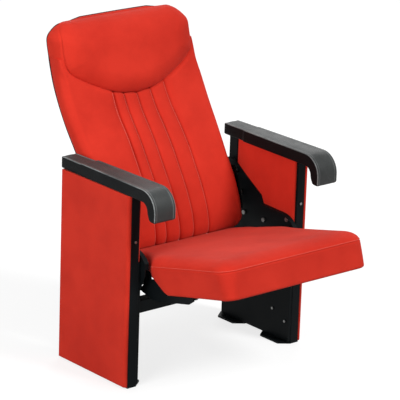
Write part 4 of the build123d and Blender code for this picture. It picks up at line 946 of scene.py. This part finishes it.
def armrest(side):
    """Moulding swept along the arm and down round its nose."""
    centre_r = ARM_NOSE_R - ARM_THICKNESS / 2
    bend_z = ARM_TOP_Z - ARM_NOSE_R
    places = [ARM_REAR_Y - ARM_END, 0.11]
    for shift in (0.03, 0.012, 0.005, 0.002, 0.0, -0.002, -0.005, -0.012, -0.03):
        places.append(ARM_STEP_Y + shift)
    places += list(np.linspace(-0.02, ARM_BEND_Y, 10))
    stops = [(y, ARM_TOP_Z - ARM_THICKNESS / 2, 0.0) for y in places]
    for k in range(1, 13):
        angle = k / 12 * math.pi / 2
        stops.append((ARM_BEND_Y - centre_r * math.sin(angle), bend_z + centre_r * math.cos(angle), angle))
    for z in np.linspace(bend_z - 0.006, ARM_NOSE_BOTTOM + ARM_END, 5):
        stops.append((ARM_BEND_Y - centre_r, z, math.pi / 2))
    rings = []

    def add(y, z, angle, inset):
        behind = ARM_STEP / (1 + math.exp((ARM_STEP_Y - y) / ARM_STEP_SPREAD))
        ahead = (ARM_REAR_Y - y) / (ARM_REAR_Y - ARM_BEND_Y + ARM_NOSE_R)
        half = ARM_REAR_HALF + ARM_NOSE_WIDEN * ahead - behind - inset
        down = max(0.0, (bend_z - z) / (bend_z - ARM_NOSE_BOTTOM))
        taper = ARM_TIP_TAPER * down**1.4 * math.sin(angle)
        thickness = ARM_THICKNESS - 2 * inset - 0.002 * angle - behind * 0.6 - taper
        up_y, up_z = -math.sin(angle), math.cos(angle)
        centre_x = side * (ARM_CENTRE_X + behind)
        rings.append(
            [
                (centre_x + x, y + up_y * (rise + taper / 2), z - behind * 0.3 + up_z * (rise + taper / 2))
                for x, rise in arm_section(half, thickness)
            ]
        )

    y, z, angle = stops[0]
    for inset, back in ARM_END_ROUND:
        add(y + ARM_END - back, z, angle, inset)
    for stop in stops[1:-1]:
        add(*stop, 0.0)
    y, z, angle = stops[-1]
    for inset, back in reversed(ARM_END_ROUND):
        add(y, z - ARM_END + back, angle, inset)
    points = np.concatenate(rings)
    name = "right" if side > 0 else "left"
    made = piece_from(f"arm_{name}", points, grid_faces(len(rings), len(rings[0])), ARM_SKIN, "frame")
    smooth(made)
    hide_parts(f"armrest_{name}")


# -------------------------------------------------- highlight stitches
def highlight_stitches(name, path, body, thickness):
    """Pale thread laid over a seam, one short stitch after another, as a painted highlight along it."""
    legs = np.linalg.norm(np.diff(path, axis=0), axis=1)
    along = np.concatenate([[0.0], np.cumsum(legs)])
    count = int(along[-1] / STITCH_PITCH)
    points, faces = [], []
    for k in range(count):
        ends = [
            np.array([np.interp(place, along, path[:, axis]) for axis in range(3)])
            for place in (k * STITCH_PITCH, k * STITCH_PITCH + STITCH_LENGTH)
        ]
        forward = (ends[1] - ends[0]) / max(np.linalg.norm(ends[1] - ends[0]), 1e-9)
        across = np.cross(forward, (0.31, 0.62, 0.72))
        across /= np.linalg.norm(across)
        other = np.cross(forward, across)
        start = len(points)
        for share, radius in ((0.0, 0.35), (0.2, 0.9), (0.5, 1.0), (0.8, 0.9), (1.0, 0.35)):
            centre = ends[0] + (ends[1] - ends[0]) * share
            for corner in range(6):
                angle = corner * math.pi / 3
                turned = across * math.cos(angle) + other * math.sin(angle)
                points.append(centre + turned * thickness * radius)
        faces += [tuple(start + i for i in face) for face in grid_faces(5, 6)]
    made = piece_from(name, points, faces, HIGHLIGHT_THREAD, body)


# ----------------------------------------------------- stage
CAMERA_AZIMUTH = math.radians(-40.48)
CAMERA_ELEVATION = math.radians(18.0)
CAMERA_ROLL = math.radians(2.0)
CAMERA_DISTANCE = 8.148
CAMERA_TARGET = Vector((0.008, -0.080, 0.4982))
CAMERA_LENS = 242.7
LAMP_TARGET = (0.0, -0.08, 0.45)
WORLD_LIGHT = 0.33
FLOOR_SHADE = 0.3
FLOOR_GLOW = 0.76
FLOOR_REACH = 60.0
FLOOR_DROP = 0.0005
WHITE = (1.0, 1.0, 1.0, 1.0)


def add_camera():
    """The photographed view of the seat."""
    back = Vector(
        (
            math.sin(CAMERA_AZIMUTH) * math.cos(CAMERA_ELEVATION),
            -math.cos(CAMERA_AZIMUTH) * math.cos(CAMERA_ELEVATION),
            math.sin(CAMERA_ELEVATION),
        )
    )
    level = Vector((0, 0, 1)).cross(back).normalized()
    upright = back.cross(level)
    right = math.cos(CAMERA_ROLL) * level + math.sin(CAMERA_ROLL) * upright
    up = -math.sin(CAMERA_ROLL) * level + math.cos(CAMERA_ROLL) * upright
    camera = bpy.data.objects.new("camera", bpy.data.cameras.new("camera"))
    camera.data.lens = CAMERA_LENS
    camera.data.sensor_width = 36.0
    camera.data.clip_end = 100.0
    matrix = Matrix((right, up, back)).transposed().to_4x4()
    matrix.translation = CAMERA_TARGET + back * CAMERA_DISTANCE
    camera.matrix_world = matrix
    bpy.context.scene.collection.objects.link(camera)
    bpy.context.scene.camera = camera


def add_lamp(name, kind, place, energy, size):
    """A white lamp turned to the seat. Its size is an angle for a sun, else a side in metres."""
    lamp = bpy.data.lights.new(name, kind)
    lamp.energy = energy
    if kind == "AREA":
        lamp.shape = "SQUARE"
        lamp.size = size
    else:
        lamp.angle = size
    made = bpy.data.objects.new(name, lamp)
    made.location = place
    made.rotation_euler = (Vector(place) - Vector(LAMP_TARGET)).to_track_quat("Z", "Y").to_euler()
    bpy.context.scene.collection.objects.link(made)


def white_where_seen(tree, lit, white):
    """Camera, glossy and transmission rays meet plain white; the rest sees the lit one."""
    path = tree.nodes.new("ShaderNodeLightPath")
    seen = path.outputs["Is Camera Ray"]
    for ray in ("Is Glossy Ray", "Is Transmission Ray"):
        either = tree.nodes.new("ShaderNodeMath")
        either.operation = "MAXIMUM"
        tree.links.new(seen, either.inputs[0])
        tree.links.new(path.outputs[ray], either.inputs[1])
        seen = either.outputs[0]
    mixed = tree.nodes.new("ShaderNodeMixShader")
    tree.links.new(seen, mixed.inputs[0])
    tree.links.new(lit, mixed.inputs[1])
    tree.links.new(white, mixed.inputs[2])
    return mixed.outputs[0]


def add_stage():
    """White surroundings, a pale floor that only catches shadow, and three lamps."""
    world = bpy.data.worlds.new("studio")
    bpy.context.scene.world = world
    world.use_nodes = True
    tree = world.node_tree
    lit = tree.nodes["Background"]
    lit.inputs["Color"].default_value = WHITE
    lit.inputs["Strength"].default_value = WORLD_LIGHT
    white = tree.nodes.new("ShaderNodeBackground")
    white.inputs["Color"].default_value = WHITE
    white.inputs["Strength"].default_value = 1.0
    surface = white_where_seen(tree, lit.outputs[0], white.outputs[0])
    tree.links.new(surface, tree.nodes["World Output"].inputs["Surface"])
    floor_material = bpy.data.materials.new("pale_floor")
    floor_material.use_nodes = True
    tree = floor_material.node_tree
    tree.nodes.remove(tree.nodes["Principled BSDF"])
    matt = tree.nodes.new("ShaderNodeBsdfDiffuse")
    matt.inputs["Color"].default_value = (FLOOR_SHADE, FLOOR_SHADE, FLOOR_SHADE, 1.0)
    glow = tree.nodes.new("ShaderNodeEmission")
    glow.inputs["Strength"].default_value = FLOOR_GLOW
    shown = tree.nodes.new("ShaderNodeAddShader")
    tree.links.new(matt.outputs[0], shown.inputs[0])
    tree.links.new(glow.outputs[0], shown.inputs[1])
    surface = white_where_seen(tree, matt.outputs[0], shown.outputs[0])
    tree.links.new(surface, tree.nodes["Material Output"].inputs["Surface"])
    corners = [(x * FLOOR_REACH, y * FLOOR_REACH, 0.0) for x, y in ((-1, -1), (1, -1), (1, 1), (-1, 1))]
    mesh = bpy.data.meshes.new("floor")
    mesh.from_pydata(corners, [], [(0, 1, 2, 3)])
    mesh.materials.append(floor_material)
    floor = bpy.data.objects.new("floor", mesh)
    floor.location = (0, 0, -FLOOR_DROP)
    bpy.context.scene.collection.objects.link(floor)
    add_lamp("key", "SUN", (1.0, -2.7, 3.3), energy=1.95, size=math.radians(16))
    add_lamp("fill", "AREA", (-3.6, -1.0, 2.0), energy=96.0, size=2.0)
    add_lamp("rim", "AREA", (2.4, 2.2, 2.6), energy=34.0, size=1.6)
    bpy.context.scene.view_settings.view_transform = "Standard"


# ---------------------------------------------------- script
add_stage()
add_camera()
dress_cad_nodes()
seat_cushion()
back_cushion()
headrest_cushion()
panel_cover("outer_panel_cover_left", -1, OUTER_PANEL_NOSE, PANEL_WRAP)
panel_cover("outer_panel_cover_right", 1, OUTER_PANEL_NOSE, PANEL_WRAP)
panel_cover("inner_panel_cover_left", 1, INNER_PANEL_NOSE, 0.0)
panel_cover("inner_panel_cover_right", -1, INNER_PANEL_NOSE, 0.0)
armrest(1)
armrest(-1)
